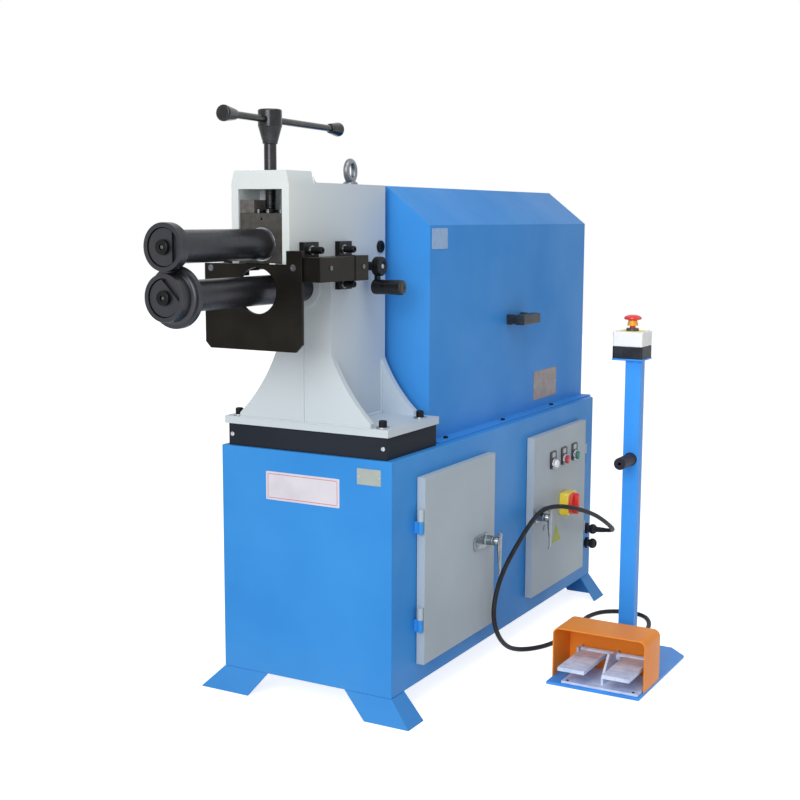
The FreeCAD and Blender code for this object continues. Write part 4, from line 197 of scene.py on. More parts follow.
def moulded(name, colour, scuff, roughness, grain=0.9, relief=0.05, shine=0.5):
    """Moulded plastic or rubber: an even colour, a spark-eroded grain in mm and lighter scuffs."""
    finish, tree, shader, place = new_finish(name, Roughness=roughness, Specular_IOR_Level=shine)
    wear = clouds(tree, place, 28, 5.0)
    tone = mixed(tree, spread(tree, wear, 0.42, 0.78), colour, scuff)
    polish = spread(tree, wear, 0.3, 0.7, roughness - 0.05, roughness + 0.08)
    return laid_on(finish, tree, shader, tone, clouds(tree, place, grain), relief * 4, polish)


# Rubber sheath: soft black with a dull bloom, so that it never goes quite dark
rubber_sheath = moulded("black_rubber_sheath", "1F2125", "303237", 0.55, grain=1.6, relief=0.08,
                        shine=0.2)

CABLE_ROUTE = [
    (0.0795, 0.774, 0.2060), (0.1065, 0.774, 0.2070), (0.1335, 0.758, 0.2130),
    (0.1505, 0.723, 0.2260), (0.1565, 0.676, 0.2470), (0.1565, 0.624, 0.2730),
    (0.1505, 0.570, 0.2990), (0.1405, 0.509, 0.3220), (0.1275, 0.448, 0.3410),
    (0.1045, 0.401, 0.3510), (0.0845, 0.356, 0.3470), (0.0845, 0.300, 0.3330),
    (0.0845, 0.242, 0.3080), (0.0845, 0.181, 0.2770), (0.0845, 0.123, 0.2430),
    (0.0845, 0.080, 0.2000), (0.0845, 0.061, 0.1500), (0.0835, 0.076, 0.1020),
    (0.0815, 0.114, 0.0600), (0.0805, 0.163, 0.0270), (0.0865, 0.209, 0.0090),
    (0.1085, 0.236, 0.0063), (0.1295, 0.270, 0.0063), (0.1435, 0.317, 0.0063),
    (0.1515, 0.382, 0.0063), (0.1475, 0.455, 0.0063), (0.1395, 0.520, 0.0063),
    (0.1365, 0.575, 0.0063), (0.1515, 0.629, 0.0063), (0.1865, 0.659, 0.0063),
    (0.2275, 0.669, 0.0063), (0.2715, 0.658, 0.0063), (0.3025, 0.612, 0.0063),
    (0.3195, 0.550, 0.0063), (0.3265, 0.490, 0.0103), (0.3345, 0.435, 0.0180),
    (0.3455, 0.388, 0.0290), (0.3525, 0.355, 0.0380), (0.3525, 0.324, 0.0380)]
CABLE_D = 0.012
cable_line = bpy.data.curves.new("control_cable", "CURVE")
cable_line.dimensions = "3D"
cable_line.resolution_u = 8
lay = cable_line.splines.new("NURBS")
lay.points.add(len(CABLE_ROUTE) - 1)
for knot, place in zip(lay.points, CABLE_ROUTE):
    knot.co = (*place, 1.0)
lay.order_u = 3
lay.use_endpoint_u = True
control_cable = bpy.data.objects.new("control_cable_sheath", cable_line)
bpy.context.scene.collection.objects.link(control_cable)
bpy.context.view_layer.update()
core = bpy.data.meshes.new_from_object(
    control_cable.evaluated_get(bpy.context.evaluated_depsgraph_get()))
cable_core = [vertex.co.copy() for vertex in core.vertices]
cable_line.bevel_depth = CABLE_D / 2
cable_line.bevel_resolution = 5
cable_line.use_fill_caps = True
cable_line.materials.append(rubber_sheath)
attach(control_cable, "machine")
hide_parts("control_cable")


def fit(shape, name, finish, body, slot, *nodes):
    """Makes a piece of a bmesh or mesh, with its finish, and hands it to its body."""
    mesh = shape
    if isinstance(shape, bmesh.types.BMesh):
        mesh = bpy.data.meshes.new(name)
        bmesh.ops.recalc_face_normals(shape, faces=shape.faces)
        shape.to_mesh(mesh)
        shape.free()
    mesh.materials.clear()
    mesh.materials.append(finish)
    mesh.polygons.foreach_set("use_smooth", [True] * len(mesh.polygons))
    mesh.set_sharp_from_angle(angle=math.radians(34))
    piece = bpy.data.objects.new(name, mesh)
    bpy.context.scene.collection.objects.link(piece)
    # Wide faces keep their own direction, so that only the narrow ones beside them look round
    even = piece.modifiers.new("even", "WEIGHTED_NORMAL")
    even.keep_sharp = True
    bpy.context.view_layer.update()
    piece.data = bpy.data.meshes.new_from_object(
        piece.evaluated_get(bpy.context.evaluated_depsgraph_get()))
    piece.modifiers.remove(even)
    bpy.data.meshes.remove(mesh)
    piece.data.name = name
    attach(piece, body)
    if nodes:
        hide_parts(*nodes)
    return piece


def skin(bm, rings, ends=True):
    """Joins rings of vertices in turn, a ring of one vertex being a tip, and unless ends is
    False closes the first and the last ring."""
    for before, after in zip(rings, rings[1:]):
        sides = max(len(before), len(after))
        for k in range(sides):
            nxt = (k + 1) % sides
            corners = dict.fromkeys((before[k % len(before)], before[nxt % len(before)],
                                     after[nxt % len(after)], after[k % len(after)]))
            if len(corners) > 2:
                bm.faces.new(list(corners))
    if ends:
        bm.faces.new(rings[0])
        bm.faces.new(rings[-1])
    return bm


def swept(bm, path, sections, side, sides=20, squareness=1.0):
    """A closed bar along a path in metres; each section is its half width across side and its
    half height, and squareness below 1 makes the section boxier."""
    rings = []
    for k, point in enumerate(path):
        run = (path[min(k + 1, len(path) - 1)] - path[max(k - 1, 0)]).normalized()
        across = (Vector(side) - run * run.dot(Vector(side))).normalized()
        other = run.cross(across)
        ring = []
        for step in range(sides):
            angle = 2 * math.pi * step / sides
            c, s = math.cos(angle), math.sin(angle)
            ring.append(bm.verts.new(
                point + across * math.copysign(abs(c) ** squareness, c) * sections[k][0]
                + other * math.copysign(abs(s) ** squareness, s) * sections[k][1]))
        rings.append(ring)
    return skin(bm, rings)


# Bend reliefs: ribbed rubber sleeves that taper from each gland along the cable
RELIEF_L, RELIEF_WALL, RELIEF_TAPER, RELIEF_GROOVE = 0.026, 0.0026, 0.0019, 0.0006
RELIEF_STEPS = 24
for relief_name, line in (("cable_relief_cabinet", cable_core),
                          ("cable_relief_post", cable_core[::-1])):
    reach, near = 0.0, [line[0]]
    for before, after in zip(line, line[1:]):
        reach += (after - before).length
        near.append(after)
        if reach > RELIEF_L:
            break
    spaced = []
    for k in range(RELIEF_STEPS + 1):
        along = k / RELIEF_STEPS * (len(near) - 1)
        step = min(int(along), len(near) - 2)
        spaced.append(near[step].lerp(near[step + 1], along - step))
    waist = [(CABLE_D / 2 + RELIEF_WALL - RELIEF_TAPER * k / RELIEF_STEPS)
             - (RELIEF_GROOVE if k % 4 in (2, 3) else 0.0) for k in range(RELIEF_STEPS + 1)]
    sleeve = bmesh.new()
    swept(sleeve, spaced, [(r, r) for r in waist], UPWARD, sides=24)
    fit(sleeve, relief_name, rubber_sheath, "machine", "gland_plastic")


# Cable glands: black polyamide, each a six-sided nut on the wall, a thread and a fluted cap nut
# that squeezes its seal on the cable; the lower one is still free for the mains cable.
def eased_profile(profile, radius):
    """A turned outline of (distance, radius) points in mm with its corners rounded."""
    points = [Vector(profile[0])]
    for before, here, after in zip(profile, profile[1:], profile[2:]):
        here = Vector(here)
        back, on = Vector(before) - here, Vector(after) - here
        if back.length < 1e-6 or on.length < 1e-6 or back.angle(on) > math.radians(170):
            points.append(here)
            continue
        cut = min(radius, back.length * 0.42, on.length * 0.42)
        start, end = here + back.normalized() * cut, here + on.normalized() * cut
        points += [start, (start + 2 * here + end) / 4, end]
    return points + [Vector(profile[-1])]


def turned(bm, origin, axis, profile, ease=0.5, steps=72, swell=None):
    """Adds a body turned about an axis from (distance, radius) points in mm; an outline that
    starts and ends off the axis is closed on itself. swell(distance, angle) scales the radius."""
    axis = Vector(axis).normalized()
    side = axis.orthogonal().normalized()
    other = axis.cross(side)
    points = eased_profile(profile, ease)
    loop = profile[0][1] > 0 and profile[-1][1] > 0
    rings = []
    for distance, radius in points:
        middle = origin + axis * distance / 1000
        if radius < 1e-6:
            rings.append([bm.verts.new(middle)])
            continue
        ring = []
        for step in range(steps):
            angle = 2 * math.pi * step / steps
            r = radius * (swell(distance, angle) if swell else 1.0) / 1000
            ring.append(bm.verts.new(middle + side * r * math.cos(angle)
                                     + other * r * math.sin(angle)))
        rings.append(ring)
    return skin(bm, rings + rings[:1] if loop else rings, ends=False)


def six_sided(distance, angle):
    """Scales a circle to a hexagon whose corners lie on it."""
    return math.cos(math.pi / 6) / math.cos((angle + math.pi / 6) % (math.pi / 3) - math.pi / 6)


def fluted(count, depth):
    """Scales a circle to a fluted rim of so many flutes, depth as a share of the radius."""
    return lambda distance, angle: 1 - depth * (0.5 - 0.5 * math.cos(count * angle)) ** 2


# Polyamide: satin black, dull in its moulding grain
gland_polyamide = moulded("black_polyamide", "1C1E22", "2C2F34", 0.42, shine=0.25)
glands = bmesh.new()
for gland_y, gland_z, bore in ((1154, 206, 6.3), (1154, 163, 7.0)):
    mouth = at(225, gland_y, gland_z)
    turned(glands, mouth, RIGHTWARD, [(0, 9), (0, 15.6), (8, 15.6), (8, 9)], 0.6, 72, six_sided)
    thread = [(8 + k * 0.9 + (0.45 if k % 2 else 0.0), 11.0 - (0.7 if k % 2 else 0.0))
              for k in range(9)]
    turned(glands, mouth, RIGHTWARD, [(7, bore), (7, 11)] + thread + [(17, 11), (17, bore)], 0.1)
    turned(glands, mouth, RIGHTWARD,
           [(16, bore), (16, 13.2), (18, 14.4), (26, 14.4), (29, 12.2), (32, 10.2), (32, bore)],
           0.8, 96, fluted(16, 0.07))
    turned(glands, mouth, RIGHTWARD, [(-10, bore), (-10, 11), (0, 11), (0, bore)], 0.4)
post_mouth = at(530, 680, 38)
turned(glands, post_mouth, REARWARD, [(-6, 0), (-6, 9), (1, 9), (1, 0)], 0.4)
turned(glands, post_mouth, REARWARD, [(0, 0), (0, 12.4), (8, 12.4), (8, 0)], 0.5, 72, six_sided)
turned(glands, post_mouth, REARWARD,
       [(8, 0), (8, 11.2), (9, 11.6), (19, 11.6), (22, 9.8), (24, 8.4), (24, 0)],
       0.6, 96, fluted(16, 0.07))
fit(glands, "cable_glands_black", gland_polyamide, "machine", "gland_plastic", "cable_glands")


# Cabinet: 4 mm sheet, folded and welded, its rear corners cut, on four splayed skirts. It is
# sprayed with a fine textured blue enamel that is a little dusty towards the floor.
def eased(node, width, shortest=9.0, segments=2):
    """A merged copy of a CAD node whose longer edges are rounded by width mm."""
    bm = bmesh.new()
    bm.from_mesh(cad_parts[node].data)
    bmesh.ops.remove_doubles(bm, verts=bm.verts, dist=1e-5)
    bmesh.ops.dissolve_limit(bm, angle_limit=math.radians(0.4), verts=bm.verts, edges=bm.edges)
    edges = [edge for edge in bm.edges
             if edge.is_manifold and edge.calc_length() > shortest / 1000
             and edge.calc_face_angle(0.0) > math.radians(30)]
    bmesh.ops.bevel(bm, geom=edges, offset=width / 1000, offset_type="OFFSET",
                    segments=segments, profile=0.5, affect="EDGES", clamp_overlap=True)
    return bm


# Where the lit front's tone ends and the painted shade behind it is full, and how high dust rises,
# in m
PAINTED_SHADE_SPAN, DUST_RISES = (-0.52, -0.20), 0.16


def enamel(name, colour, shade, roughness, peel=2.6, relief=0.10, wave=0.0, soil=0.0,
           shine=0.3, behind=None):
    """Sprayed enamel: its tone drifts slightly, its skin is peeled like an orange's at peel mm,
    wave adds the unevenness of filler, soil the dust of a workshop's floor, and behind is a
    darker tone painted in away from its front, as painted shade on its sides and rear."""
    finish, tree, shader, place = new_finish(name, Roughness=roughness, Specular_IOR_Level=shine)
    drift = clouds(tree, place, 310, 4.0)
    top = mixed(tree, spread(tree, drift, 0.34, 0.66), colour, shade)
    if behind or soil:
        where = put(tree, "ShaderNodeSeparateXYZ", {"Vector": place}).outputs
    if behind:
        # Painted shade: away from the front the tone turns to the darker, bluer behind tone
        top = mixed(tree, spread(tree, where[1], *PAINTED_SHADE_SPAN), top, behind)
    if soil:
        dirt = put(tree, "ShaderNodeMath", {0: spread(tree, where[2], DUST_RISES, 0.0, 0.0, soil),
                                            1: clouds(tree, place, 45, 6.0)},
                   operation="MULTIPLY").outputs[0]
        top = mixed(tree, dirt, top, "8C8B86")
    rubbed = spread(tree, drift, 0.3, 0.7, roughness - 0.06, roughness + 0.07)
    skin = clouds(tree, place, peel)
    if not wave:
        return laid_on(finish, tree, shader, top, skin, relief * 3, rubbed, deep=0.0003)
    peeled = put(tree, "ShaderNodeBump", {"Height": skin, "Strength": relief * 3,
                                          "Distance": 0.0003}).outputs[0]
    return laid_on(finish, tree, shader, top, clouds(tree, place, 48, 3.0), wave, rubbed,
                   peeled, 0.004)


# Textured enamel: half matt, so its blue stays even and only the folds catch the light
cabinet_enamel = enamel("textured_blue_enamel", "3A95E1", "308BD9", 0.46, 2.2, 0.16, soil=0.14,
                        shine=0.25)
fit(eased("cabinet", 2.2), "cabinet_body", cabinet_enamel, "machine", "blue_cabinet", "cabinet")
skirts = eased("cabinet_feet", 1.6)
for corner in skirts.verts:
    corner.co.z = max(corner.co.z, 0.0)     # the feet's edges lie flat on the floor
fit(skirts, "cabinet_skirts", cabinet_enamel, "machine", "blue_cabinet", "cabinet_feet")


# Riser box: a welded black box that lifts the frame off the cabinet, with a bright screw near each
# front corner. Satin black enamel with a coarse, slightly dusty skin.
riser_enamel = enamel("satin_black_enamel", "252A32", "2B3039", 0.55, 1.8, 0.20, shine=0.06)
fit(eased("riser_box", 1.5), "riser_box_black", riser_enamel, "machine", "black_riser",
    "riser_box")


# Machine frame: welded steel plates, filled, rubbed down and sprayed off-white. Its window, flared
# feet and head have ground edges, and a fillet of weld runs round the foot of the column.
# Its enamel turns darker and bluer from the front backwards: painted shade on the frame's sides and
# rear.
frame_enamel = enamel("off_white_enamel", "DCE2E1", "D2DADA", 0.42, 3.4, 0.10, wave=0.10,
                      behind="BCCAD8")
fit(eased("frame", 1.8, shortest=6.0), "machine_frame", frame_enamel, "machine", "white_frame",
    "frame")


def weld(bm, start, end, lean_to, leg=5.0):
    """A bead of weld between two points in mm in the corner that leans to a side."""
    begin, finish_at = at(*start), at(*end)
    run = finish_at - begin
    count = max(2, int(run.length / 0.0032))
    path = [begin + run * k / count for k in range(count + 1)]
    sizes = [(leg / 1000 * (1.0 + 0.10 * math.sin(2.1 * k)),
              leg / 1000 * (1.0 + 0.14 * math.sin(1.7 * k + 1))) for k in range(count + 1)]
    swept(bm, path, sizes, lean_to, sides=10)


FLANGE_TOP = 658
welds = bmesh.new()
for side in (-1, 1):
    weld(welds, (side * 72, 18, FLANGE_TOP + 1), (side * 72, 217, FLANGE_TOP + 1), UPWARD, 4.5)
    weld(welds, (side * 72, 16.5, 662), (side * 72, 16.5, 800), RIGHTWARD, 3.6)
    weld(welds, (side * 72, 218.5, 662), (side * 72, 218.5, 780), RIGHTWARD, 3.6)
weld(welds, (-170, 0.5, FLANGE_TOP + 0.5), (170, 0.5, FLANGE_TOP + 0.5), UPWARD, 2.6)
fit(welds, "frame_welds", frame_enamel, "machine", "white_frame")


# Flange bolts and other socket-head screws: forged, knurled round the head, a hexagon socket in
# the middle and oiled black; the flange bolts stand on bright washers.
def steel(name, colour, stain, roughness, grain, run, metallic=1.0, relief=0.10, blot=18.0,
          shine=0.5):
    """Worked steel: grain mm lines across the run that the tool took, and stains at blot mm."""
    finish, tree, shader, place = new_finish(name, Roughness=roughness, Metallic=metallic,
                                             Specular_IOR_Level=shine)
    blots = spread(tree, clouds(tree, place, blot, 5.0), 0.40, 0.70)
    drawn = put(tree, "ShaderNodeMapping", {"Vector": place, "Scale": run}).outputs[0]
    lines = clouds(tree, drawn, grain)
    polish = spread(tree, lines, 0.3, 0.7, roughness - 0.06, roughness + 0.08)
    return laid_on(finish, tree, shader, mixed(tree, blots, colour, stain), lines, relief * 3,
                   polish)


# Stretch of the grain along X, Y and Z: even, or drawn out along one of them
EVEN, DRAWN_X, DRAWN_Y = (1.0, 1.0, 1.0), (0.05, 1.0, 1.0), (1.0, 0.05, 1.0)
# Black oxide in oil: nearly black with a greasy sheen and browner blots
oiled_black_steel = steel("oiled_black_steel", "17181B", "222120", 0.34, 1.2, EVEN, 0.6,
                          shine=0.25)
# Bright zinc plate: pale, bluish and finely speckled
zinc_plate = steel("bright_zinc_plate", "B9BDC3", "A3A7AC", 0.30, 0.9, EVEN)


def row_tree(name, spun):
    """Geometry nodes that set a shape on every point of a mesh, its Z along the point's facing.
    Spun, it is turned about its Z by chance; else its Y lies along the point's run."""
    tree = bpy.data.node_groups.new(name, "GeometryNodeTree")
    wanted = [("Places", "Geometry"), ("Shape", "Object"), ("Finish", "Material")]
    if spun:
        wanted.append(("Seed", "Int"))
    for label, kind in wanted:
        tree.interface.new_socket(label, in_out="INPUT", socket_type="NodeSocket" + kind)
    tree.interface.new_socket("Geometry", in_out="OUTPUT", socket_type="NodeSocketGeometry")
    given = put(tree, "NodeGroupInput").outputs
    shape = put(tree, "GeometryNodeObjectInfo", {"Object": given["Shape"]})
    facing, run = (put(tree, "GeometryNodeInputNamedAttribute", {"Name": label},
                       data_type="FLOAT_VECTOR").outputs[0] for label in ("facing", "run"))
    if spun:
        aligned = put(tree, "FunctionNodeAlignRotationToVector", {"Vector": facing}, axis="Z")
        chance = put(tree, "FunctionNodeRandomValue",
                     {2: 0.0, 3: 2 * math.pi, "Seed": given["Seed"]}, data_type="FLOAT")
        spin = put(tree, "FunctionNodeAxisAngleToRotation",
                   {"Axis": UPWARD, "Angle": chance.outputs[1]})
        stance = put(tree, "FunctionNodeRotateRotation",
                     {"Rotation": aligned.outputs[0], "Rotate By": spin.outputs[0]},
                     rotation_space="LOCAL")
    else:
        stance = put(tree, "FunctionNodeAxesToRotation", {0: facing, 1: run},
                     primary_axis="Z", secondary_axis="Y")
    placed = put(tree, "GeometryNodeInstanceOnPoints",
                 {"Points": given["Places"], "Instance": shape.outputs["Geometry"],
                  "Rotation": stance.outputs[0]})
    real = put(tree, "GeometryNodeRealizeInstances", {"Geometry": placed.outputs[0]})
    finished = put(tree, "GeometryNodeSetMaterial",
                   {"Geometry": real.outputs[0], "Material": given["Finish"]})
    put(tree, "NodeGroupOutput", {0: finished.outputs[0]})
    return tree


spun_row, run_row = row_tree("spun_row", True), row_tree("run_row", False)


def set_out(name, pattern, places, finish, body, slot, *nodes, seed=3):
    """Sets a pattern at places, each a point in mm, the way it faces and, where that matters,
    the way it runs, and makes one piece of them."""
    points = bpy.data.meshes.new(name + "_places")
    points.from_pydata([at(*place[0]) for place in places], [], [])
    for column, label in enumerate(("facing", "run")[:len(places[0]) - 1], 1):
        layer = points.attributes.new(label, "FLOAT_VECTOR", "POINT")
        layer.data.foreach_set("vector", [v for place in places for v in place[column]])
    carrier = bpy.data.objects.new(name + "_places", points)
    bpy.context.scene.collection.objects.link(carrier)
    rows = carrier.modifiers.new("rows", "NODES")
    rows.node_group = spun_row if len(places[0]) == 2 else run_row
    values = {"Shape": pattern, "Seed": seed, "Finish": finish}
    for item in rows.node_group.interface.items_tree:
        if item.in_out == "INPUT" and item.name in values:
            rows[item.identifier] = values[item.name]
    bpy.context.view_layer.update()
    mesh = bpy.data.meshes.new_from_object(
        carrier.evaluated_get(bpy.context.evaluated_depsgraph_get()))
    bpy.data.objects.remove(carrier)
    return fit(mesh, name, finish, body, slot, *nodes)


def pattern_of(bm, name):
    """Keeps a shape about the origin as the pattern of a fastener, and shows it nowhere."""
    bmesh.ops.recalc_face_normals(bm, faces=bm.faces)
    mesh = bpy.data.meshes.new(name)
    bm.to_mesh(mesh)
    bm.free()
    return bpy.data.objects.new(name, mesh)


ORIGIN = Vector((0, 0, 0))


def socket_head(radius, height, socket):
    """A knurled socket head with its bottom on the origin, facing up, in mm."""
    bm = bmesh.new()
    knurl = fluted(36, 0.045)
    turned(bm, ORIGIN, UPWARD,
           [(0, 0), (0, radius), (height * 0.86, radius), (height, radius * 0.90),
            (height, socket * 1.06)], 0.3, 108,
           lambda distance, angle: knurl(distance, angle) if 0.5 < distance < height * 0.88 else 1)
    turned(bm, ORIGIN, UPWARD,
           [(height, socket * 1.06), (height - 0.4, socket), (height * 0.45, socket),
            (height * 0.36, socket * 0.1), (height * 0.36, 0)], 0.1, 108,
           lambda distance, angle: six_sided(distance, angle) if distance < height - 0.2 else 1)
    bmesh.ops.remove_doubles(bm, verts=bm.verts, dist=1e-6)
    return bm


def washer(radius, bore, thickness):
    """A pressed washer with its bottom on the origin, in mm."""
    return turned(bmesh.new(), ORIGIN, UPWARD,
                  [(0, bore), (0, radius), (thickness, radius), (thickness, bore)], 0.5)


flange_places = [((side * 190, y, FLANGE_TOP), UPWARD) for side in (-1, 1) for y in (22, 190)]
set_out("flange_washers", pattern_of(washer(15, 6.2, 3), "flange_washer"), flange_places,
        zinc_plate, "machine", "bright_steel", "flange_bolts")
flange_heads = [((x, y, z + 3), way) for (x, y, z), way in flange_places]
set_out("flange_screws", pattern_of(socket_head(9, 14, 5.4), "flange_screw"), flange_heads,
        oiled_black_steel, "machine", "black_steel")
shanks = bmesh.new()
for (x, y, z), way in flange_places:
    turned(shanks, at(x, y, z - 29), UPWARD, [(0, 0), (0, 6), (33, 6), (33, 0)], 0.6, 32)
fit(shanks, "flange_screw_shanks", oiled_black_steel, "machine", "black_steel")


# Panel screws: bright cross-recessed pan heads on the riser's front, low black socket heads on the
# cover's foot flange, and the drilled plug in the head's side.
def pan_head(radius, height):
    """A domed head with a cross recess, its bottom on the origin, in mm."""
    bm = bmesh.new()
    turned(bm, ORIGIN, UPWARD,
           [(0, 0), (0, radius), (height * 0.45, radius * 0.98), (height * 0.85, radius * 0.72),
            (height, radius * 0.34), (height * 0.98, 0)], 0.2, 48)
    for turn in (0, math.pi / 2):
        bmesh.ops.create_cube(bm, size=1.0, matrix=(
            Matrix.Translation((0, 0, (height + 0.02) / 1000)) @ Matrix.Rotation(turn, 4, "Z")
            @ Matrix.Diagonal((radius / 1000, radius * 0.2 / 1000, 0.0002, 1))))
    return bm


riser_places = [((side * 199, 7, 615.5), FRONTWARD) for side in (-1, 1)]
set_out("riser_screws", pattern_of(pan_head(5.4, 3), "pan_screw"), riser_places, zinc_plate,
        "machine", "bright_steel", "panel_screws", seed=5)
cover_places = [((side * 189, y, 593), UPWARD) for side in (-1, 1) for y in (320, 640, 960)]
set_out("cover_foot_screws", pattern_of(socket_head(5.6, 4.6, 2.6), "cover_screw"), cover_places,
        oiled_black_steel, "machine", "black_steel", seed=9)
plug = bmesh.new()
turned(plug, at(72, 210, 1042), RIGHTWARD,
       [(-6, 0), (-6, 8), (0, 8), (0, 14), (5, 14), (6, 12.8), (6, 7), (3.5, 7), (3, 5), (3, 0)],
       0.5, 64)
fit(plug, "head_plug", oiled_black_steel, "machine", "black_steel")

# Lifting eye: a drop-forged ring on a collar, zinc-plated, with the forging's satin skin
forged_zinc = steel("forged_zinc_eye", "8D9196", "74777B", 0.36, 1.6, EVEN, relief=0.16)
eye = bmesh.new()
eye_middle = at(0, 200, 1212.5)
EYE_STEPS, WIRE_STEPS = 72, 24
EYE_TURN = math.radians(6.0)
eye_across = Vector((math.cos(EYE_TURN), math.sin(EYE_TURN), 0))
hoop = []
for k in range(EYE_STEPS):
    angle = 2 * math.pi * k / EYE_STEPS
    spoke = Vector((-math.sin(EYE_TURN) * math.cos(angle), math.cos(EYE_TURN) * math.cos(angle),
                    math.sin(angle)))
    wire = 7.3 + max(0.0, -math.sin(angle)) ** 3    # stouter towards the collar
    hoop.append([eye.verts.new(eye_middle + spoke * (21.1 + wire * math.cos(t)) / 1000
                               + eye_across * wire * math.sin(t) / 1000)
                 for t in (2 * math.pi * j / WIRE_STEPS for j in range(WIRE_STEPS))])
skin(eye, hoop + hoop[:1], ends=False)
turned(eye, at(0, 200, 1166), UPWARD,
       [(0, 0), (0, 8), (14, 8), (14, 17), (20, 17), (22, 13.5), (26, 9.5), (30, 0)], 1.2, 64)
fit(eye, "lifting_eye", forged_zinc, "machine", "chrome_eye", "eye_bolt")


# Shafts and rolls: turned from round bar, blackened and kept oiled. The tool's rings run round
# them; the rolls' rims are rounded, the lower one with a flange that forms the bead.
RINGED = (0.03, 1.0, 0.03)
# Blackened turned steel: satin, charcoal, with soft bright streaks along it
blackened_steel = steel("blackened_turned_steel", "3A3C41", "434146", 0.33, 0.8, RINGED, 0.8,
                        relief=0.010, blot=120.0)
UPPER_Z, LOWER_Z = 1052, 957
upper_axis, lower_axis = at(0, 0, UPPER_Z), at(0, 0, LOWER_Z)
upper_shaft = turned(bmesh.new(), upper_axis, REARWARD, [
    (-460.5, 8.05), (-460.5, 22), (-425, 22), (-425, 32), (-76, 32), (-76, 30), (300, 30),
    (300, 25), (417, 25), (417, 0), (-416, 0), (-416, 8.05)], 1.0, 96)
fit(upper_shaft, "upper_shaft_blackened", blackened_steel, "upper_line", "turned_steel",
    "upper_shaft")
lower_shaft = turned(bmesh.new(), lower_axis, REARWARD, [
    (-460.5, 8.05), (-460.5, 22), (-395, 22), (-395, 30.75), (136.7, 30.75), (136.7, 26),
    (157.3, 26), (157.3, 30.75), (300, 30.75), (300, 25), (470, 25), (470, 0), (-416, 0),
    (-416, 8.05)], 1.0, 96)
fit(lower_shaft, "lower_shaft_blackened", blackened_steel, "lower_line", "turned_steel",
    "lower_shaft")


def concave(middle_d, middle_r, radius, start, stop, steps=6):
    """Points of a hollow quarter round between two angles in degrees."""
    angles = [math.radians(start + (stop - start) * k / steps) for k in range(steps + 1)]
    return [(middle_d + radius * math.cos(a), middle_r + radius * math.sin(a)) for a in angles]


upper_roll = turned(bmesh.new(), upper_axis, REARWARD,
                    [(-461, 22.05), (-461, 37), (-470, 37), (-470, 46), (-447, 46)]
                    + concave(-440, 40, 7, 180, 270) + [(-425, 33), (-425, 22.05)], 1.3, 120)
fit(upper_roll, "upper_roll_blackened", blackened_steel, "upper_line", "turned_steel",
    "upper_roll")
lower_roll = turned(bmesh.new(), lower_axis, REARWARD,
                    [(-461, 22.05), (-461, 37), (-470, 37), (-470, 46)]
                    + concave(-447, 54, 8, 270, 360)
                    + [(-439, 60), (-427, 60), (-427, 33.5), (-395, 33.5), (-395, 22.05)],
                    1.2, 120)
fit(lower_roll, "lower_roll_blackened", blackened_steel, "lower_line", "turned_steel",
    "lower_roll")

# Roll clamps: a thick washer with one flat, sunk in each roll's face, and a short socket screw.
# Worn black oxide: the steel shows through it in grey patches where keys and gloves rub it.
worn_steel = steel("worn_black_steel", "55585C", "7B7E82", 0.30, 1.0, EVEN, 0.9, blot=5.0)
for clamp_name, axis_point, line, flat_turn in (
        ("upper_roll_clamp", upper_axis, "upper_line", 0.0),
        ("lower_roll_clamp", lower_axis, "lower_line", 45.0)):
    disc = turned(bmesh.new(), axis_point, REARWARD,
                  [(-467, 8.05), (-467, 35.5), (-461, 35.5), (-461, 8.05)], 0.6, 144)
    turn = math.radians(flat_turn)
    outward = Vector((math.cos(turn), 0, math.sin(turn)))
    for vertex in disc.verts:
        beyond = (vertex.co - axis_point).dot(outward) - 0.020
        if beyond > 0:
            vertex.co -= outward * beyond
    fit(disc, clamp_name + "_washer", blackened_steel, line, "turned_steel", clamp_name)
    head = socket_head(14.5, 8, 5.77)
    turned(head, ORIGIN, UPWARD, [(-46, 0), (-46, 8), (0, 8), (0, 0)], 0.6, 48)
    bmesh.ops.transform(head, verts=head.verts, matrix=(
        Matrix.Translation(axis_point + Vector((0, -0.467, 0)))
        @ Vector(FRONTWARD).to_track_quat("Z", "Y").to_matrix().to_4x4()))
    fit(head, clamp_name + "_screw", oiled_black_steel, line, "black_steel")
    centre = turned(bmesh.new(), axis_point, REARWARD,
                    [(-472.6, 0), (-472.6, 3.4), (-471.0, 3.8), (-471.0, 0)], 0.4, 32)
    fit(centre, clamp_name + "_centre", worn_steel, line, "bright_steel")


# Bearing block: machined cast iron that slides in the head's window, with a gib on its left, three
# bright set screws on top, an oil hole in front and the bearing's steel ring round the shaft.
# Machined iron: dark grey-brown, milled in fine upright lines, with oil in its pores
machined_iron = steel("machined_cast_iron", "4B4945", "3D3B38", 0.46, 0.9, (1.0, 1.0, 0.05),
                      0.55, relief=0.12, blot=14.0)
fit(eased("bearing_block", 1.0, shortest=5.0), "bearing_block_iron", machined_iron, "upper_arm",
    "cast_block", "bearing_block")
# Sawn steel of the gib: grey, dull, dark where oil has dried
sawn_gib = steel("sawn_gib_steel", "6A6665", "524E4C", 0.50, 1.2, EVEN, 0.25, blot=12.0, shine=0.3)


def bar(bm, middle, size, ease, segments=2):
    """Adds a bar of a size in mm about its middle, with its edges broken by ease mm."""
    made = bmesh.ops.create_cube(bm, size=1.0, matrix=(
        Matrix.Translation(middle) @ Matrix.Diagonal((*(v / 1000 for v in size), 1))))
    edges = list(dict.fromkeys(edge for vertex in made["verts"] for edge in vertex.link_edges))
    bmesh.ops.bevel(bm, geom=edges, offset=ease / 1000, segments=segments, profile=0.5,
                    affect="EDGES")
    return bm


gib = bar(bmesh.new(), at(-36.2, -118, 1129.5), (36, 68, 27), 1.2)
fit(gib, "block_gib_steel", sawn_gib, "upper_arm", "black_steel", "block_gib")
set_out("block_set_screws", pattern_of(socket_head(4.5, 8, 2.3), "set_screw"),
        [((x, -144, 1116), UPWARD) for x in (-12, 12, 44)], worn_steel, "upper_arm",
        "bright_steel")
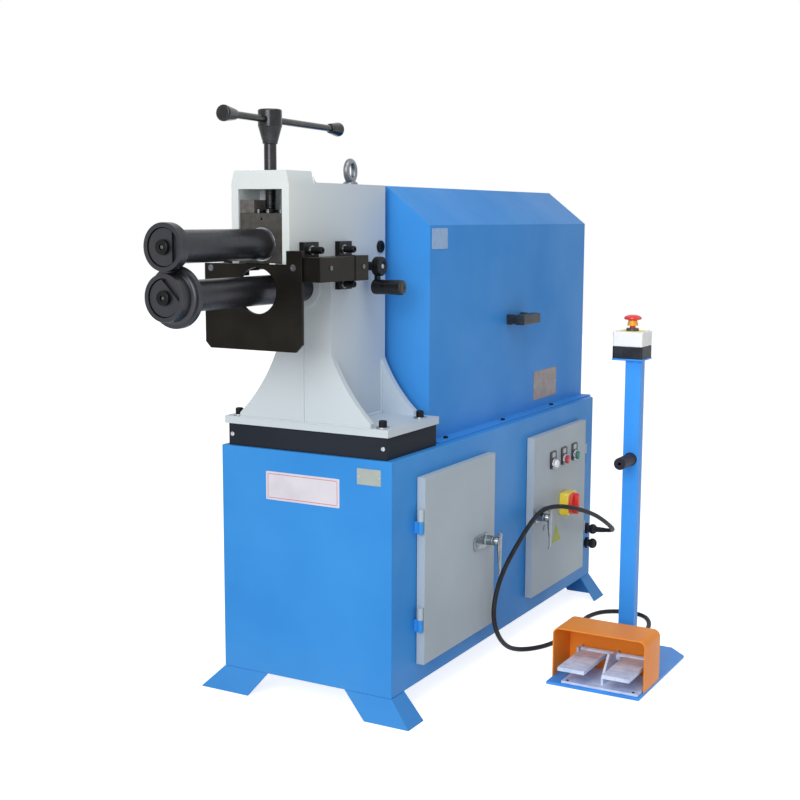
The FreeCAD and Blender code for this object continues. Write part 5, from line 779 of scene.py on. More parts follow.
# Ground bearing steel: bright, fine rings round the shaft
ground_steel = steel("ground_bearing_steel", "A4A8AD", "8F9398", 0.24, 0.7, RINGED)
race = turned(bmesh.new(), upper_axis, REARWARD,
              [(-153, 32.05), (-153, 35), (-84, 35), (-84, 32.05)], 0.5, 96)
turned(race, upper_axis, REARWARD,
       [(385, 25.05)] + [(400 - 44 * math.cos(a), 44 * math.sin(a)) for a in
                         (math.radians(70 + 5 * k) for k in range(9))] + [(415, 25.05)], 0.2, 96)
fit(race, "shaft_bearings_ground", ground_steel, "upper_arm", "bright_steel", "upper_bearings")


# Pressure screw: a trapezoid thread through the head, a plain stem and a hub for the tommy bar,
# turned in one piece and blackened; the swivel under it bears on the block.
PITCH = 4.0
UPRIGHT_RINGS = (0.03, 0.03, 1.0)
screw_steel = steel("blackened_screw_steel", "2F3033", "3D3D3E", 0.22, 0.8, UPRIGHT_RINGS, 0.85,
                    relief=0.06, blot=30.0)
thread = []
for k in range(20):
    z = 1124.35 + k * PITCH
    thread += [(z, 9.9), (z + 0.25 * PITCH, 9.9), (z + 0.42 * PITCH, 12.0),
               (z + 0.83 * PITCH, 12.0)]
axis_foot = at(0, -118, 0)
pressure_screw = turned(bmesh.new(), axis_foot, UPWARD, [
    (1119.35, 0), (1119.35, 8), (1124.35, 8)] + thread + [
    (1205, 12), (1205, 13), (1257, 13), (1258, 15.6), (1264, 16.2), (1265, 16.8), (1291, 24),
    (1293, 25), (1325.5, 25), (1328, 22.8), (1328, 6), (1326.5, 4.5), (1326.5, 0)], 0.5, 96)
fit(pressure_screw, "pressure_screw_blackened", screw_steel, "screw", "turned_steel",
    "pressure_screw")
swivel = turned(bmesh.new(), axis_foot, UPWARD, [
    (1116.3, 0), (1116.3, 4), (1117.5, 16.5), (1124.3, 16.5), (1124.3, 8.05), (1119.3, 8.05),
    (1119.3, 0)], 0.5, 72)
fit(swivel, "screw_swivel_steel", oiled_black_steel, "screw_foot", "black_steel", "screw_swivel")

# Tommy bar: a plain round bar that slides through the hub, with a tapered knob driven on each end
TOMMY_TURN = math.radians(6.8)
bar_way = Vector((-math.sin(TOMMY_TURN), math.cos(TOMMY_TURN), 0))
bar_middle = at(0, -118, 1307)
knob_steel = steel("blackened_knob_steel", "323334", "454442", 0.22, 0.8, (0.15, 1.0, 0.15), 0.85,
                   relief=0.06, blot=30.0)
tommy = turned(bmesh.new(), bar_middle, bar_way,
               [(-170, 0), (-170, 7.3), (309, 7.3), (309, 0)], 0.6, 48)
for knob_end, way in ((-193, 1), (332, -1)):
    turned(tommy, bar_middle + bar_way * knob_end / 1000, bar_way * way,
           [(0, 0), (0, 13.4), (2.2, 16), (6, 15.9), (44, 11.1), (46, 10.2), (46, 7)], 0.9, 72)
fit(tommy, "tommy_bar_blackened", knob_steel, "tommy", "turned_steel", "tommy_bar")


# Guide: a sawn and ground plate behind the rolls with a hole for the lower shaft, screwed to a
# sliding bar on the right and a round rod on the left. Black oxide, with browner wear on its faces.
guide_oxide = steel("black_oxide_plate", "191815", "25211B", 0.36, 1.1, (1.0, 1.0, 0.06), 0.4,
                    relief=0.08, blot=70.0, shine=0.12)
fit(eased("guide_plate", 0.9, shortest=4.0), "guide_plate_oxide", guide_oxide, "guide",
    "black_guide", "guide_plate")
fit(eased("guide_bar", 1.0, shortest=4.0), "guide_bar_oxide", guide_oxide, "guide",
    "black_guide", "guide_bar")
guide_heads = bmesh.new()
for x, z in ((-118, 1002), (90, 1006)):
    turned(guide_heads, at(x, -171, z), REARWARD,
           [(0.6, 0), (0.6, 2.4), (0.1, 3.0), (0.1, 6.9), (4, 3.5), (18, 3.5), (18, 0)], 0.2, 48)
for y, x in ((-121, 150), (5, 151.5)):
    turned(guide_heads, at(x, y, 1005), RIGHTWARD,
           [(0, 0), (0, 5), (1.4, 5), (2, 4.2), (2, 2.4), (0.9, 2.0), (0.9, 0)], 0.3, 48)
fit(guide_heads, "guide_screw_heads", worn_steel, "guide", "bright_steel", "guide_screws")

# Brackets and rail: blackened steel blocks on the head's side, with long knurled screws
fit(eased("guide_brackets", 1.0, shortest=4.0), "guide_brackets_black", oiled_black_steel,
    "machine", "black_steel", "guide_brackets")
bracket_places = [((87, -93, 1040), RIGHTWARD), ((87, 35, 1040), RIGHTWARD),
                  ((87, 35, 965), RIGHTWARD)]
set_out("bracket_screw_heads", pattern_of(socket_head(7.5, 25, 3.9), "bracket_screw"),
        bracket_places, oiled_black_steel, "machine", "black_steel", "bracket_screws", seed=7)
set_out("bracket_washers", pattern_of(washer(9.5, 5.2, 3), "bracket_washer"),
        [((x - 3, y, z), way) for (x, y, z), way in bracket_places], zinc_plate, "machine",
        "bright_steel")
bracket_shanks = bmesh.new()
for (x, y, z), way in bracket_places:
    turned(bracket_shanks, at(54.5, y, z), way, [(0, 0), (0, 5), (32.5, 5), (32.5, 0)], 0.5, 32)
fit(bracket_shanks, "bracket_screw_shanks", oiled_black_steel, "machine", "black_steel")


# Axial adjusting lever: a shaft with an eccentric pin inside, a hub with a bright centre outside,
# a flat arm and a round moulded grip.
lever = turned(bmesh.new(), at(0, 147, 1000), RIGHTWARD, [
    (12, 0), (12, 10), (98, 10), (98, 20.2), (99.4, 21.5), (115, 21.5), (117, 19.5), (117, 11),
    (114.8, 10), (114.8, 0)], 0.7, 72)
turned(lever, at(0, 147, 996.7), RIGHTWARD, [(-9, 0), (-9, 4), (13, 4), (13, 0)], 0.4, 32)
bar(lever, at(102, 148.5, 973), (8, 16, 54), 1.2)
fit(lever, "axial_lever_steel", oiled_black_steel, "lever", "black_steel", "axial_lever")
lever_centre = turned(bmesh.new(), at(0, 147, 1000), RIGHTWARD, [
    (114.8, 0), (114.8, 5.4), (116.8, 5.4), (117.6, 4.4), (117.6, 0)], 0.4, 48)
fit(lever_centre, "axial_lever_centre", zinc_plate, "lever", "bright_steel")
# Moulded grip: black phenolic, glossier than the steel round it
phenolic = moulded("black_phenolic", "17191C", "25282C", 0.28, grain=2.4, relief=0.03, shine=0.3)
grip = turned(bmesh.new(), at(0, 150, 954), RIGHTWARD, [
    (92, 0), (92, 14.5), (94, 16.6), (100, 17), (130, 16.2), (160, 17), (166, 16.4), (168, 14),
    (168, 6), (166.5, 5), (166.5, 0)], 1.4, 72)
fit(grip, "axial_lever_grip", phenolic, "lever", "black_steel")


# Doors: double-skinned sheet steel with rolled edges, in light grey enamel, each hung on two
# lift-off hinges whose lower halves are welded to the cabinet and painted with it.
fit(eased("hinge_pintles", 0.6, shortest=0.8), "hinge_pintles_blue", cabinet_enamel, "machine",
    "blue_cabinet", "hinge_pintles")
# Light grey enamel: half matt, a little blue, dustier at the foot
DOOR_FACE = 246
door_enamel = enamel("light_grey_enamel", "B4C1C9", "ACB9C2", 0.46, 2.2, 0.16, soil=0.3)
for door_node, door_body in (("door_1", "door_front"), ("door_2", "door_rear")):
    fit(eased(door_node, 1.9, shortest=20.0, segments=3), door_node + "_enamelled", door_enamel,
        door_body, "grey_door", door_node)


# Latches: a chromed plate with a boss on the door, and a swing handle whose root narrows to a
# hanging blade with a curled top; the spindle carries a zinc-plated tongue behind the door.
def slab(bm, low, high, axis, corner=3.0, ease=0.6):
    """Adds a plate square to an axis between two corners in mm, with round corners and eased
    faces."""
    others = [k for k in range(3) if k != axis]
    rings = []
    for depth, inset in ((low[axis], ease), (low[axis] + ease, 0.0),
                         (high[axis] - ease, 0.0), (high[axis], ease)):
        ring = []
        for signs, start in (((1, 1), 0), ((-1, 1), 90), ((-1, -1), 180), ((1, -1), 270)):
            for step in range(7):
                angle = math.radians(start + 15 * step)
                point = [depth, depth, depth]
                for k, sign, reach in zip(others, signs, (math.cos(angle), math.sin(angle))):
                    edge = high[k] if sign > 0 else low[k]
                    point[k] = edge - sign * corner + reach * (corner - inset)
                ring.append(bm.verts.new(at(*point)))
        rings.append(ring)
    return skin(bm, rings)


# Satin chrome of the escutcheons and the lock: brushed rather than polished, its base colour greyed
# towards the door's as a painted reflection of the door
satin_chrome = steel("satin_chrome_plate", "8B949B", "7E878E", 0.30, 3.0, EVEN, relief=0.03)
# Chrome of the handles: polished, its base colour darkened as a painted reflection of a dark
# workshop round it
handle_chrome = steel("polished_chrome_handle", "82888D", "6C7277", 0.16, 3.0, EVEN, relief=0.03,
                      blot=16.0)
# Chrome plate of the buttons' bezels: bright, cold, with hardly any stain
chrome = steel("bright_chrome_plate", "A7ACB2", "979CA3", 0.16, 3.0, EVEN, relief=0.03, blot=30.0)
# The handle's blade: place across the door, rise over the spindle, half width, half thickness
BLADE = [(281.0, 18.5, 4.5, 1.2), (283.6, 21.6, 5.5, 1.5), (286.4, 20.0, 6.5, 1.7),
         (287.0, 15.0, 7.5, 1.9), (285.6, 9.0, 8.6, 2.6), (284.2, 3.0, 9.0, 3.8),
         (283.4, -6.0, 9.0, 4.6), (283.4, -18.0, 8.6, 4.4), (284.0, -32.0, 7.8, 3.4),
         (285.0, -48.0, 7.0, 2.4), (285.6, -62.0, 6.2, 1.9), (285.2, -74.0, 5.4, 1.6),
         (283.4, -81.0, 4.8, 1.4), (280.6, -84.6, 4.2, 1.1)]
for latch, (y, z), run, door_body, lever_body in (
        ("latch_1", (425, 332), -1, "door_front", "latch_front"),
        ("latch_2", (738, 327), 1, "door_rear", "latch_rear")):
    near, far = sorted((y - run * 16, y + run * 66))
    plate = slab(bmesh.new(), (DOOR_FACE, near, z - 17), (DOOR_FACE + 4, far, z + 17), 0,
                 corner=9, ease=1.2)
    turned(plate, at(DOOR_FACE, y, z), RIGHTWARD, [
        (0, 7.1), (0, 14), (4, 14), (6, 12.2), (20, 11.6), (22.5, 12), (24, 11), (24, 7.1)], 0.6, 64)
    turned(plate, at(DOOR_FACE + 4, y + run * 52, z), RIGHTWARD,
           [(-1, 0), (-1, 4.6), (1.2, 4.2), (2.2, 2.4), (2.4, 0)], 0.3, 40)
    fit(plate, latch + "_escutcheon", satin_chrome, door_body, "chrome_latch", latch + "_plate")
    handle = turned(bmesh.new(), at(0, y, z), RIGHTWARD, [
        (213.9, 0), (213.9, 7), (270.6, 7), (270.6, 10.4), (272, 11.4), (279, 10.4), (284, 8.8),
        (288, 6.4), (288, 0)], 0.6, 64)
    swept(handle, [at(x, y, z + rise) for x, rise, _, _ in BLADE],
          [(wide / 1000, thick / 1000) for _, _, wide, thick in BLADE], REARWARD, sides=24,
          squareness=0.7)
    fit(handle, latch + "_handle", handle_chrome, lever_body, "chrome_latch", latch + "_lever")
    tongue = slab(bmesh.new(), (214, y - 9, z - 9), (218, y + 9, z + 46), 0, corner=4, ease=0.5)
    fit(tongue, latch + "_tongue", zinc_plate, lever_body, "chrome_latch")

# Cylinder lock beside the rear latch, and a bare yellow-green triangle of printed aluminium
lock = turned(bmesh.new(), at(DOOR_FACE, 793, 284), RIGHTWARD, [
    (-0.4, 0), (-0.4, 8), (2.2, 8), (3, 7.2), (3, 5.4), (2.6, 5.2), (2.6, 0)], 0.3, 48)
fit(lock, "door_lock", satin_chrome, "door_rear", "chrome_latch")
keyhole = slab(bmesh.new(), (248.2, 792, 280), (248.9, 794, 288), 0, corner=0.9, ease=0.1)
fit(keyhole, "door_lock_keyhole", gland_polyamide, "door_rear", "legend_plastic")
# Printed aluminium: satin, its ink slightly uneven
lime_print = enamel("yellow_green_printed_plate", "AEBB22", "9CAB1C", 0.40, 1.0, 0.05)
sign = bmesh.new()
skin(sign, [[sign.verts.new(at(x, *corner)) for corner in (
    (846 + 1.7 * inset, 230 + inset), (904 - 1.7 * inset, 230 + inset), (875, 279 - 2.0 * inset))]
    for x, inset in ((245.9, 0.0), (246.8, 0.0), (247.0, 0.5))])
fit(sign, "door_triangle_plate", lime_print, "door_rear", "label")


# Controls: three black legend holders with pale paper windows; a white lamp, a red and a green
# push button in chromed bezels; below them the yellow main switch with its red rotary knob.
legend_black = moulded("black_legend_frame", "262B31", "383D44", 0.38, shine=0.25)
# Legend paper under clear plastic: pale grey, blank
legend_paper = moulded("pale_legend_paper", "A9B0B8", "B4BAC1", 0.32, grain=0.5, relief=0.02)
LAMP_Y, STOP_Y, START_Y, BUTTON_Z, HOLDER_FACE = 842, 918, 994, 452, 249
holders, windows, bezels = bmesh.new(), bmesh.new(), bmesh.new()
for y in (LAMP_Y, STOP_Y, START_Y):
    slab(holders, (DOOR_FACE, y - 20, 438), (HOLDER_FACE, y + 20, 486), 0, corner=6, ease=0.6)
    slab(windows, (248.8, y - 10, 469), (249.3, y + 10, 482), 0, corner=2.5, ease=0.15)
    turned(bezels, at(HOLDER_FACE, y, BUTTON_Z), RIGHTWARD, [
        (0, 8.1), (0, 15), (2.2, 15), (5.2, 13.4), (6, 12.7), (6, 11.8), (1.5, 11.8), (1.5, 8.1)],
        0.4, 72)
fit(holders, "legend_holders", legend_black, "door_rear", "legend_plastic", "control_bezels")
fit(windows, "legend_windows", legend_paper, "door_rear", "legend_plastic")
fit(bezels, "button_bezels", chrome, "door_rear", "chrome_latch")


def button(y, domed):
    """A round button with its stem; a domed one stands a little prouder in the middle."""
    top = [(12.4, 11.4), (14.2, 10.2), (15, 6), (15, 0)] if not domed else [
        (9.5, 11.4), (12.2, 10.0), (14.2, 6.6), (15, 0)]
    return turned(bmesh.new(), at(HOLDER_FACE, y, BUTTON_Z), RIGHTWARD,
                  [(-17, 0), (-17, 8), (5.9, 8), (5.9, 11.4)] + top, 0.5, 72)


# Lamp lens: milky polycarbonate, glossy and a little waxy
milky_lens = moulded("milky_polycarbonate_lens", "F1F4F7", "DFE5EA", 0.14, grain=3.0, relief=0.02)
fit(button(LAMP_Y, True), "pilot_lamp", milky_lens, "door_rear", "legend_plastic")
# Button caps: glossy moulded nylon, the colour deep rather than bright
red_nylon = moulded("red_button_nylon", "B43344", "C4505C", 0.22, grain=3.0, relief=0.02)
green_nylon = moulded("green_button_nylon", "35796B", "4E9182", 0.22, grain=3.0, relief=0.02)
fit(button(STOP_Y, False), "stop_button_cap", red_nylon, "stop_button", "red_plastic",
    "red_button")
fit(button(START_Y, False), "start_button_cap", green_nylon, "start_button", "green_plastic",
    "green_button")
# Main switch: yellow housing with four sunk screws, red knob with a bar grip
yellow_housing = moulded("yellow_switch_housing", "F6D93A", "FAE36A", 0.34)
housing = slab(bmesh.new(), (DOOR_FACE, 893, 299), (272, 955, 361), 0, corner=7, ease=1.6)
fit(housing, "main_switch_housing", yellow_housing, "door_rear", "legend_plastic")
set_out("main_switch_screws", pattern_of(pan_head(2.6, 1.0), "switch_screw"),
        [((271.8, y, z), RIGHTWARD) for y in (898.5, 949.5) for z in (304.5, 355.5)], zinc_plate,
        "door_rear", "legend_plastic", seed=4)
red_knob = moulded("red_switch_knob", "E0342B", "E6574B", 0.30)
switch_knob = turned(bmesh.new(), at(0, 924, 330), RIGHTWARD, [
    (228, 0), (228, 8), (272.3, 8), (272.3, 30), (278.6, 30), (280.3, 28.4), (280.3, 0)], 0.6, 120,
    lambda distance, angle: fluted(24, 0.02)(distance, angle) if distance > 272.4 else 1.0)
slab(switch_knob, (279, 916, 301.1), (292.3, 932, 358.9), 0, corner=7.9, ease=2.6)
fit(switch_knob, "main_switch_knob", red_knob, "main_switch", "red_knob", "isolator_knob")


# Cover: 2 mm sheet, bent to a hood with sloping shoulders and screwed down on its foot flange.
# Its enamel is smoother and a touch lighter than the cabinet's.
cover_enamel = enamel("smooth_blue_enamel", "4597E4", "3B8FDD", 0.46, 3.0, 0.10, shine=0.12)
fit(eased("cover", 1.6, shortest=9.0), "gear_cover", cover_enamel, "machine", "blue_cover", "cover")

# Cover handle: a moulded bridge handle, black, a square bar on two flanged feet
bridge_nylon = moulded("black_bridge_nylon", "23282F", "343A43", 0.40, shine=0.25)
bridge = bmesh.new()
slab(bridge, (198, 686, 835), (224, 790, 861), 1, corner=4, ease=1.0)
for y in (686, 768):
    slab(bridge, (174, y, 835), (189, y + 22, 861), 0, corner=3, ease=0.8)
    slab(bridge, (188, y + 2.5, 838), (199, y + 19.5, 858), 0, corner=3, ease=0.4)
    turned(bridge, at(224, y + 11, 848), RIGHTWARD, [(-1, 0), (-1, 5.2), (-0.2, 5.2), (-0.1, 3.4),
                                                     (-0.6, 3.2), (-0.6, 0)], 0.2, 40)
fit(bridge, "cover_handle_bridge", bridge_nylon, "machine", "black_grip", "cover_handle")


# Plates: a bare white-grey nameplate with a thin red border and four rivets, a small bare grey one,
# and two bare ones on the cover's side, the rear one of brownish anodised aluminium.
pale_plate = steel("white_grey_printed_plate", "DAD6DE", "CFCBD5", 0.42, 0.9, DRAWN_X, 0.1,
                   relief=0.04, blot=60.0)
name_plate = slab(bmesh.new(), (-102, -1, 475), (93, 0.2, 540), 1, corner=2.5, ease=0.25)
fit(name_plate, "name_plate_bare", pale_plate, "machine", "label", "plates")
red_ink = moulded("red_border_ink", "C4565F", "CE6E75", 0.38, grain=0.5, relief=0.02)
border = bmesh.new()
for x0, x1, z0, z1 in ((-97, 88, 534, 535.4), (-97, 88, 479.6, 481), (-97, -95.6, 479.6, 535.4),
                       (86.6, 88, 479.6, 535.4)):
    slab(border, (x0, -1.12, z0), (x1, -0.9, z1), 1, corner=0.5, ease=0.05)
fit(border, "name_plate_border", red_ink, "machine", "label")
rivet = turned(bmesh.new(), ORIGIN, UPWARD,
               [(0, 0), (0, 2.0), (0.5, 1.7), (0.9, 1.0), (1.0, 0)], 0.1, 32)
set_out("plate_rivets", pattern_of(rivet, "plate_rivet"),
        [((x, -1, z), FRONTWARD) for x in (-97, 88) for z in (480, 535)]
        + [((x, -1, 552), FRONTWARD) for x in (142, 194)]
        + [((175, y, 654.5), RIGHTWARD) for y in (871, 1021)], zinc_plate, "machine",
        "bright_steel", seed=2)
# Grey anodised aluminium, brushed along its length
grey_anodised = steel("grey_anodised_plate", "A5AEA9", "99A29E", 0.40, 0.8, DRAWN_X, 0.35,
                      relief=0.05, blot=30.0)
small_plate = slab(bmesh.new(), (138, -1, 534), (198, 0.2, 570), 1, corner=2, ease=0.25)
fit(small_plate, "small_plate_bare", grey_anodised, "machine", "label")
pale_film = steel("pale_blue_film", "8FAFD6", "84A4CC", 0.42, 1.2, EVEN, 0.1, relief=0.03)
side_film = slab(bmesh.new(), (173.8, 272, 1036), (175, 349, 1084), 0, corner=3, ease=0.25)
fit(side_film, "cover_label_bare", pale_film, "machine", "label")
brown_anodised = steel("brown_anodised_plate", "8C8384", "7E7674", 0.42, 2.2, DRAWN_Y, 0.3,
                       relief=0.10, blot=26.0)
rating = slab(bmesh.new(), (173.8, 867, 615), (175, 1025, 694), 0, corner=2, ease=0.25)
fit(rating, "rating_plate_bare", brown_anodised, "machine", "label")


# Inside the column and the cover: the shafts' bushes, the bronze shoe of the axial adjustment, a
# cast rear stand, and the hobbed gears and sprockets.
def dress(node, finish):
    """Gives a CAD node that keeps its own shape its finish."""
    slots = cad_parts[node].data.materials
    for k in range(len(slots)):
        slots[k] = finish


# The bushes' flanges were sprayed over together with the frame
dress("shaft_bushes", frame_enamel)
# Turned bronze: warm, satin, with the tool's rings
turned_bronze = steel("turned_bronze", "8A6C3F", "6E5532", 0.34, 0.8, RINGED, relief=0.14)
dress("axial_shoe", turned_bronze)
# Cast iron stand: grey, pitted, with machined seats
cast_stand = steel("grey_cast_stand", "5E6164", "4E5053", 0.58, 1.8, EVEN, 0.5, relief=0.30,
                   blot=14.0)
fit(eased("rear_stand", 1.5, shortest=12.0), "rear_stand_cast", cast_stand, "machine", "cast_block",
    "rear_stand")
# Hobbed steel: cut along the teeth, greased, with brown stains in the roots
hobbed_steel = steel("hobbed_gear_steel", "8B8D90", "6A6258", 0.32, 0.7, DRAWN_Y, 0.95,
                     relief=0.14, blot=16.0)
for gear_node in ("lower_gear", "upper_gear", "driven_sprocket", "motor_sprocket"):
    dress(gear_node, hobbed_steel)


# Drive chain: simplex roller chain of 19.05 mm pitch from the motor's sprocket to the lower
# shaft's; pressed plates, pins and rollers, oiled and dark.
CHAIN_STEP, LARGE_R, SMALL_R = 19.05, 91.12, 45.81
MOTOR_Z = 420
LARGE_MIDDLE, SMALL_MIDDLE = Vector((0, 440, LOWER_Z)), Vector((0, 440, MOTOR_Z))
WHEEL_GAP = LARGE_MIDDLE.z - SMALL_MIDDLE.z
chain_lean = math.asin((LARGE_R - SMALL_R) / WHEEL_GAP)
straight = WHEEL_GAP * math.cos(chain_lean)
wrap_large, wrap_small = math.pi + 2 * chain_lean, math.pi - 2 * chain_lean
chain_length = 2 * straight + wrap_large * LARGE_R + wrap_small * SMALL_R
link_count = 2 * round(chain_length / CHAIN_STEP / 2)


def on_straight(side, share):
    """A share of the way down a straight run of the chain, and its outward normal."""
    normal = Vector((side * math.cos(chain_lean), 0, -math.sin(chain_lean)))
    return (LARGE_MIDDLE + normal * LARGE_R).lerp(SMALL_MIDDLE + normal * SMALL_R, share), normal


def on_wheel(middle, radius, angle):
    """The point of the chain's pitch line round a sprocket at an angle, and its normal."""
    normal = Vector((math.cos(angle), 0, math.sin(angle)))
    return middle + normal * radius, normal


def on_chain(distance):
    """The point at a distance along the chain: down on the right, round the small sprocket, up
    on the left and round the large one."""
    if distance < straight:
        return on_straight(1, distance / straight)
    distance -= straight
    if distance < wrap_small * SMALL_R:
        return on_wheel(SMALL_MIDDLE, SMALL_R, -chain_lean - distance / SMALL_R)
    distance -= wrap_small * SMALL_R
    if distance < straight:
        return on_straight(-1, 1 - distance / straight)
    return on_wheel(LARGE_MIDDLE, LARGE_R, math.pi + chain_lean - (distance - straight) / LARGE_R)


def link(plate_y, thick, roller):
    """One link of two waisted plates along X, in mm about its middle, with its pins or rollers."""
    bm = bmesh.new()
    half = CHAIN_STEP / 2
    outline = []
    for k in range(20):
        c, s = math.cos(2 * math.pi * k / 20), math.sin(2 * math.pi * k / 20)
        at_waist = abs(c) < 0.3
        outline.append((0.0, math.copysign(5.6, s)) if at_waist
                       else (math.copysign(half, c) + 8 * c, 8 * s))
    for side in (-1, 1):
        skin(bm, [[bm.verts.new(Vector((x, side * y, z)) / 1000) for x, z in outline]
                  for y in (plate_y, plate_y + thick)])
    reach, radius = (plate_y, 6.0) if roller else (plate_y + thick + 0.6, 2.9)
    for end in (-half, half):
        turned(bm, Vector((end / 1000, 0, 0)), REARWARD,
               [(-reach, 0), (-reach, radius), (reach, radius), (reach, 0)], 0.3, 20)
    return bm


oiled_chain = steel("oiled_chain_steel", "5A5650", "453F37", 0.36, 1.0, EVEN, 0.9, blot=12.0)
inner_places, outer_places = [], []
for k in range(link_count):
    middle, normal = on_chain((k + 0.5) * chain_length / link_count)
    (outer_places if k % 2 else inner_places).append((tuple(middle), tuple(normal), REARWARD))
set_out("drive_chain_inner_links", pattern_of(link(6.3, 1.6, True), "inner_link"), inner_places,
        oiled_chain, "machine", "chain_steel", "drive_chain")
set_out("drive_chain_outer_links", pattern_of(link(8.0, 1.6, False), "outer_link"), outer_places,
        oiled_chain, "machine", "chain_steel")


# Geared motor: a worm gearbox with a finned motor behind it, painted grey, on a welded bed whose
# four legs stand on the cabinet's floor; the fan's cowl has round slots, the terminal box a lid.
motor_enamel = enamel("grey_motor_enamel", "6F777E", "656D74", 0.44, 2.0, 0.12)
motor = turned(bmesh.new(), at(0, 640, MOTOR_Z), REARWARD, [
    (0, 0), (0, 80), (12, 80), (14, 68), (172, 68), (176, 72), (180, 79), (226, 80), (229.5, 76),
    (230, 0)], 1.2, 96)
slab(motor, (-45, 700, 470), (45, 790, 524), 2, corner=6, ease=1.0)
slab(motor, (-47, 698, 523), (47, 792, 530), 2, corner=7, ease=1.4)
for low, high in (((-80, 470, 330), (80, 640, 510)), ((-60, 462, 352), (60, 470, 488))):
    slab(motor, low, high, 1, corner=10, ease=1.6)
turned(motor, at(80, 555, MOTOR_Z), RIGHTWARD,
       [(-2, 0), (-2, 52), (0, 52), (5, 49), (5, 0)], 1.0, 72)
fit(motor, "geared_motor_body", motor_enamel, "machine", "motor_paint", "gearmotor")
cooling_fin = bar(bmesh.new(), (0, 0, 0.0035), (2.6, 156, 12), 0.8, segments=1)
fin_places = []
for k in range(36):
    angle = 2 * math.pi * k / 36
    if abs(math.degrees(angle) - 90) < 38:
        continue
    spoke = (math.cos(angle), 0.0, math.sin(angle))
    fin_places.append(((68 * spoke[0], 733, MOTOR_Z + 68 * spoke[2]), spoke, REARWARD))
set_out("motor_cooling_fins", pattern_of(cooling_fin, "cooling_fin"), fin_places, motor_enamel,
        "machine", "motor_paint")
slot_shape = turned(bmesh.new(), ORIGIN, UPWARD,
                    [(-0.5, 0), (-0.5, 5), (0.35, 5), (0.35, 0)], 0.1, 24)
slot_places = [((r * math.cos(a), 870, MOTOR_Z + r * math.sin(a)), REARWARD)
               for r, n in ((18, 6), (36, 12), (54, 18))
               for a in (2 * math.pi * j / n for j in range(n))]
set_out("fan_cowl_slots", pattern_of(slot_shape, "cowl_slot"), slot_places, gland_polyamide,
        "machine", "motor_paint", seed=6)
set_out("gearbox_screws", pattern_of(socket_head(5, 5, 2.4), "gearbox_screw"),
        [((85, 555 + 42 * math.cos(a), MOTOR_Z + 42 * math.sin(a)), RIGHTWARD)
         for a in (math.pi / 3 * j for j in range(6))], oiled_black_steel, "machine",
        "black_steel", seed=8)
bed = slab(bmesh.new(), (-115, 455, 318), (115, 895, 330), 2, corner=3, ease=0.8)
for x0, x1 in ((-115, -75), (75, 115)):
    for y0 in (455, 855):
        slab(bed, (x0, y0, 66), (x1, y0 + 40, 318), 2, corner=4, ease=0.5)
fit(bed, "motor_bed", riser_enamel, "machine", "motor_paint")


# Switchgear: a zinc-plated mounting plate on the cabinet's far wall with three contactors on a
# rail, between two slotted cable ducts.
switch_plate = slab(bmesh.new(), (-221, 730, 130), (-218, 1070, 510), 0, corner=6, ease=0.4)
slab(switch_plate, (-218.2, 750, 372), (-210.5, 1050, 407), 0, corner=2, ease=0.6)
fit(switch_plate, "switchgear_plate", zinc_plate, "machine", "bright_steel", "switchgear")
contactor_grey = moulded("grey_contactor_case", "4A4E54", "5E636A", 0.44)
duct_grey = moulded("light_grey_duct", "A9AEB2", "B6BABE", 0.50)
contactors, ducts = bmesh.new(), bmesh.new()
for y in (790, 850, 910):
    slab(contactors, (-210.6, y, 350), (-165, y + 48, 430), 0, corner=4, ease=1.0)
    slab(contactors, (-166, y + 4, 366), (-148, y + 44, 414), 0, corner=3, ease=1.2)
for z in (450, 240):
    slab(ducts, (-218.2, 745, z), (-170, 1055, z + 40), 0, corner=2, ease=1.0)
fit(contactors, "contactors", contactor_grey, "machine", "switchgear_plastic")
fit(ducts, "cable_ducts", duct_grey, "machine", "switchgear_plastic")
set_out("contactor_screws", pattern_of(pan_head(2.8, 1.4), "terminal_screw"),
        [((-165, y + 10 + 14 * k, z), RIGHTWARD) for y in (790, 850, 910) for k in range(3)
         for z in (357, 423)], zinc_plate, "machine", "bright_steel", seed=11)


# Pedestal: a square tube welded to a floor plate, with a seat for the stop station, in a brighter
# blue enamel; in front of the tube a dark rubber sleeve with a hole along it.
pedestal_enamel = enamel("bright_blue_enamel", "3DA2FE", "3398F8", 0.42, 2.4, 0.14, soil=0.12,
                         shine=0.3)
fit(eased("pedestal", 1.6, shortest=9.0), "pedestal_body", pedestal_enamel, "machine",
    "blue_pedestal", "pedestal")
post_welds = bmesh.new()
for start, end in (((510, 649.6, 8.5), (550, 649.6, 8.5)), ((510, 680.4, 8.5), (550, 680.4, 8.5)),
                   ((509.6, 650, 8.5), (509.6, 680, 8.5)), ((550.4, 650, 8.5), (550.4, 680, 8.5)),
                   ((512, 649.6, 764.6), (548, 649.6, 764.6))):
    weld(post_welds, start, end, UPWARD, 2.6)
fit(post_welds, "pedestal_welds", pedestal_enamel, "machine", "blue_pedestal")
# Rubber sleeve: purplish black, worn a little grey
sleeve_rubber = moulded("dark_rubber_sleeve", "26222F", "383442", 0.52, grain=1.6, relief=0.08,
                        shine=0.2)
peg = turned(bmesh.new(), at(530, 0, 522), REARWARD, [
    (611.5, 0), (611.5, 3.7), (571.3, 3.7), (571.3, 13.6), (572.6, 14.8), (644, 14.8), (645, 16.5),
    (650.2, 16.5), (650.2, 0)], 0.5, 64)
fit(peg, "pedestal_peg_sleeve", sleeve_rubber, "machine", "black_grip")


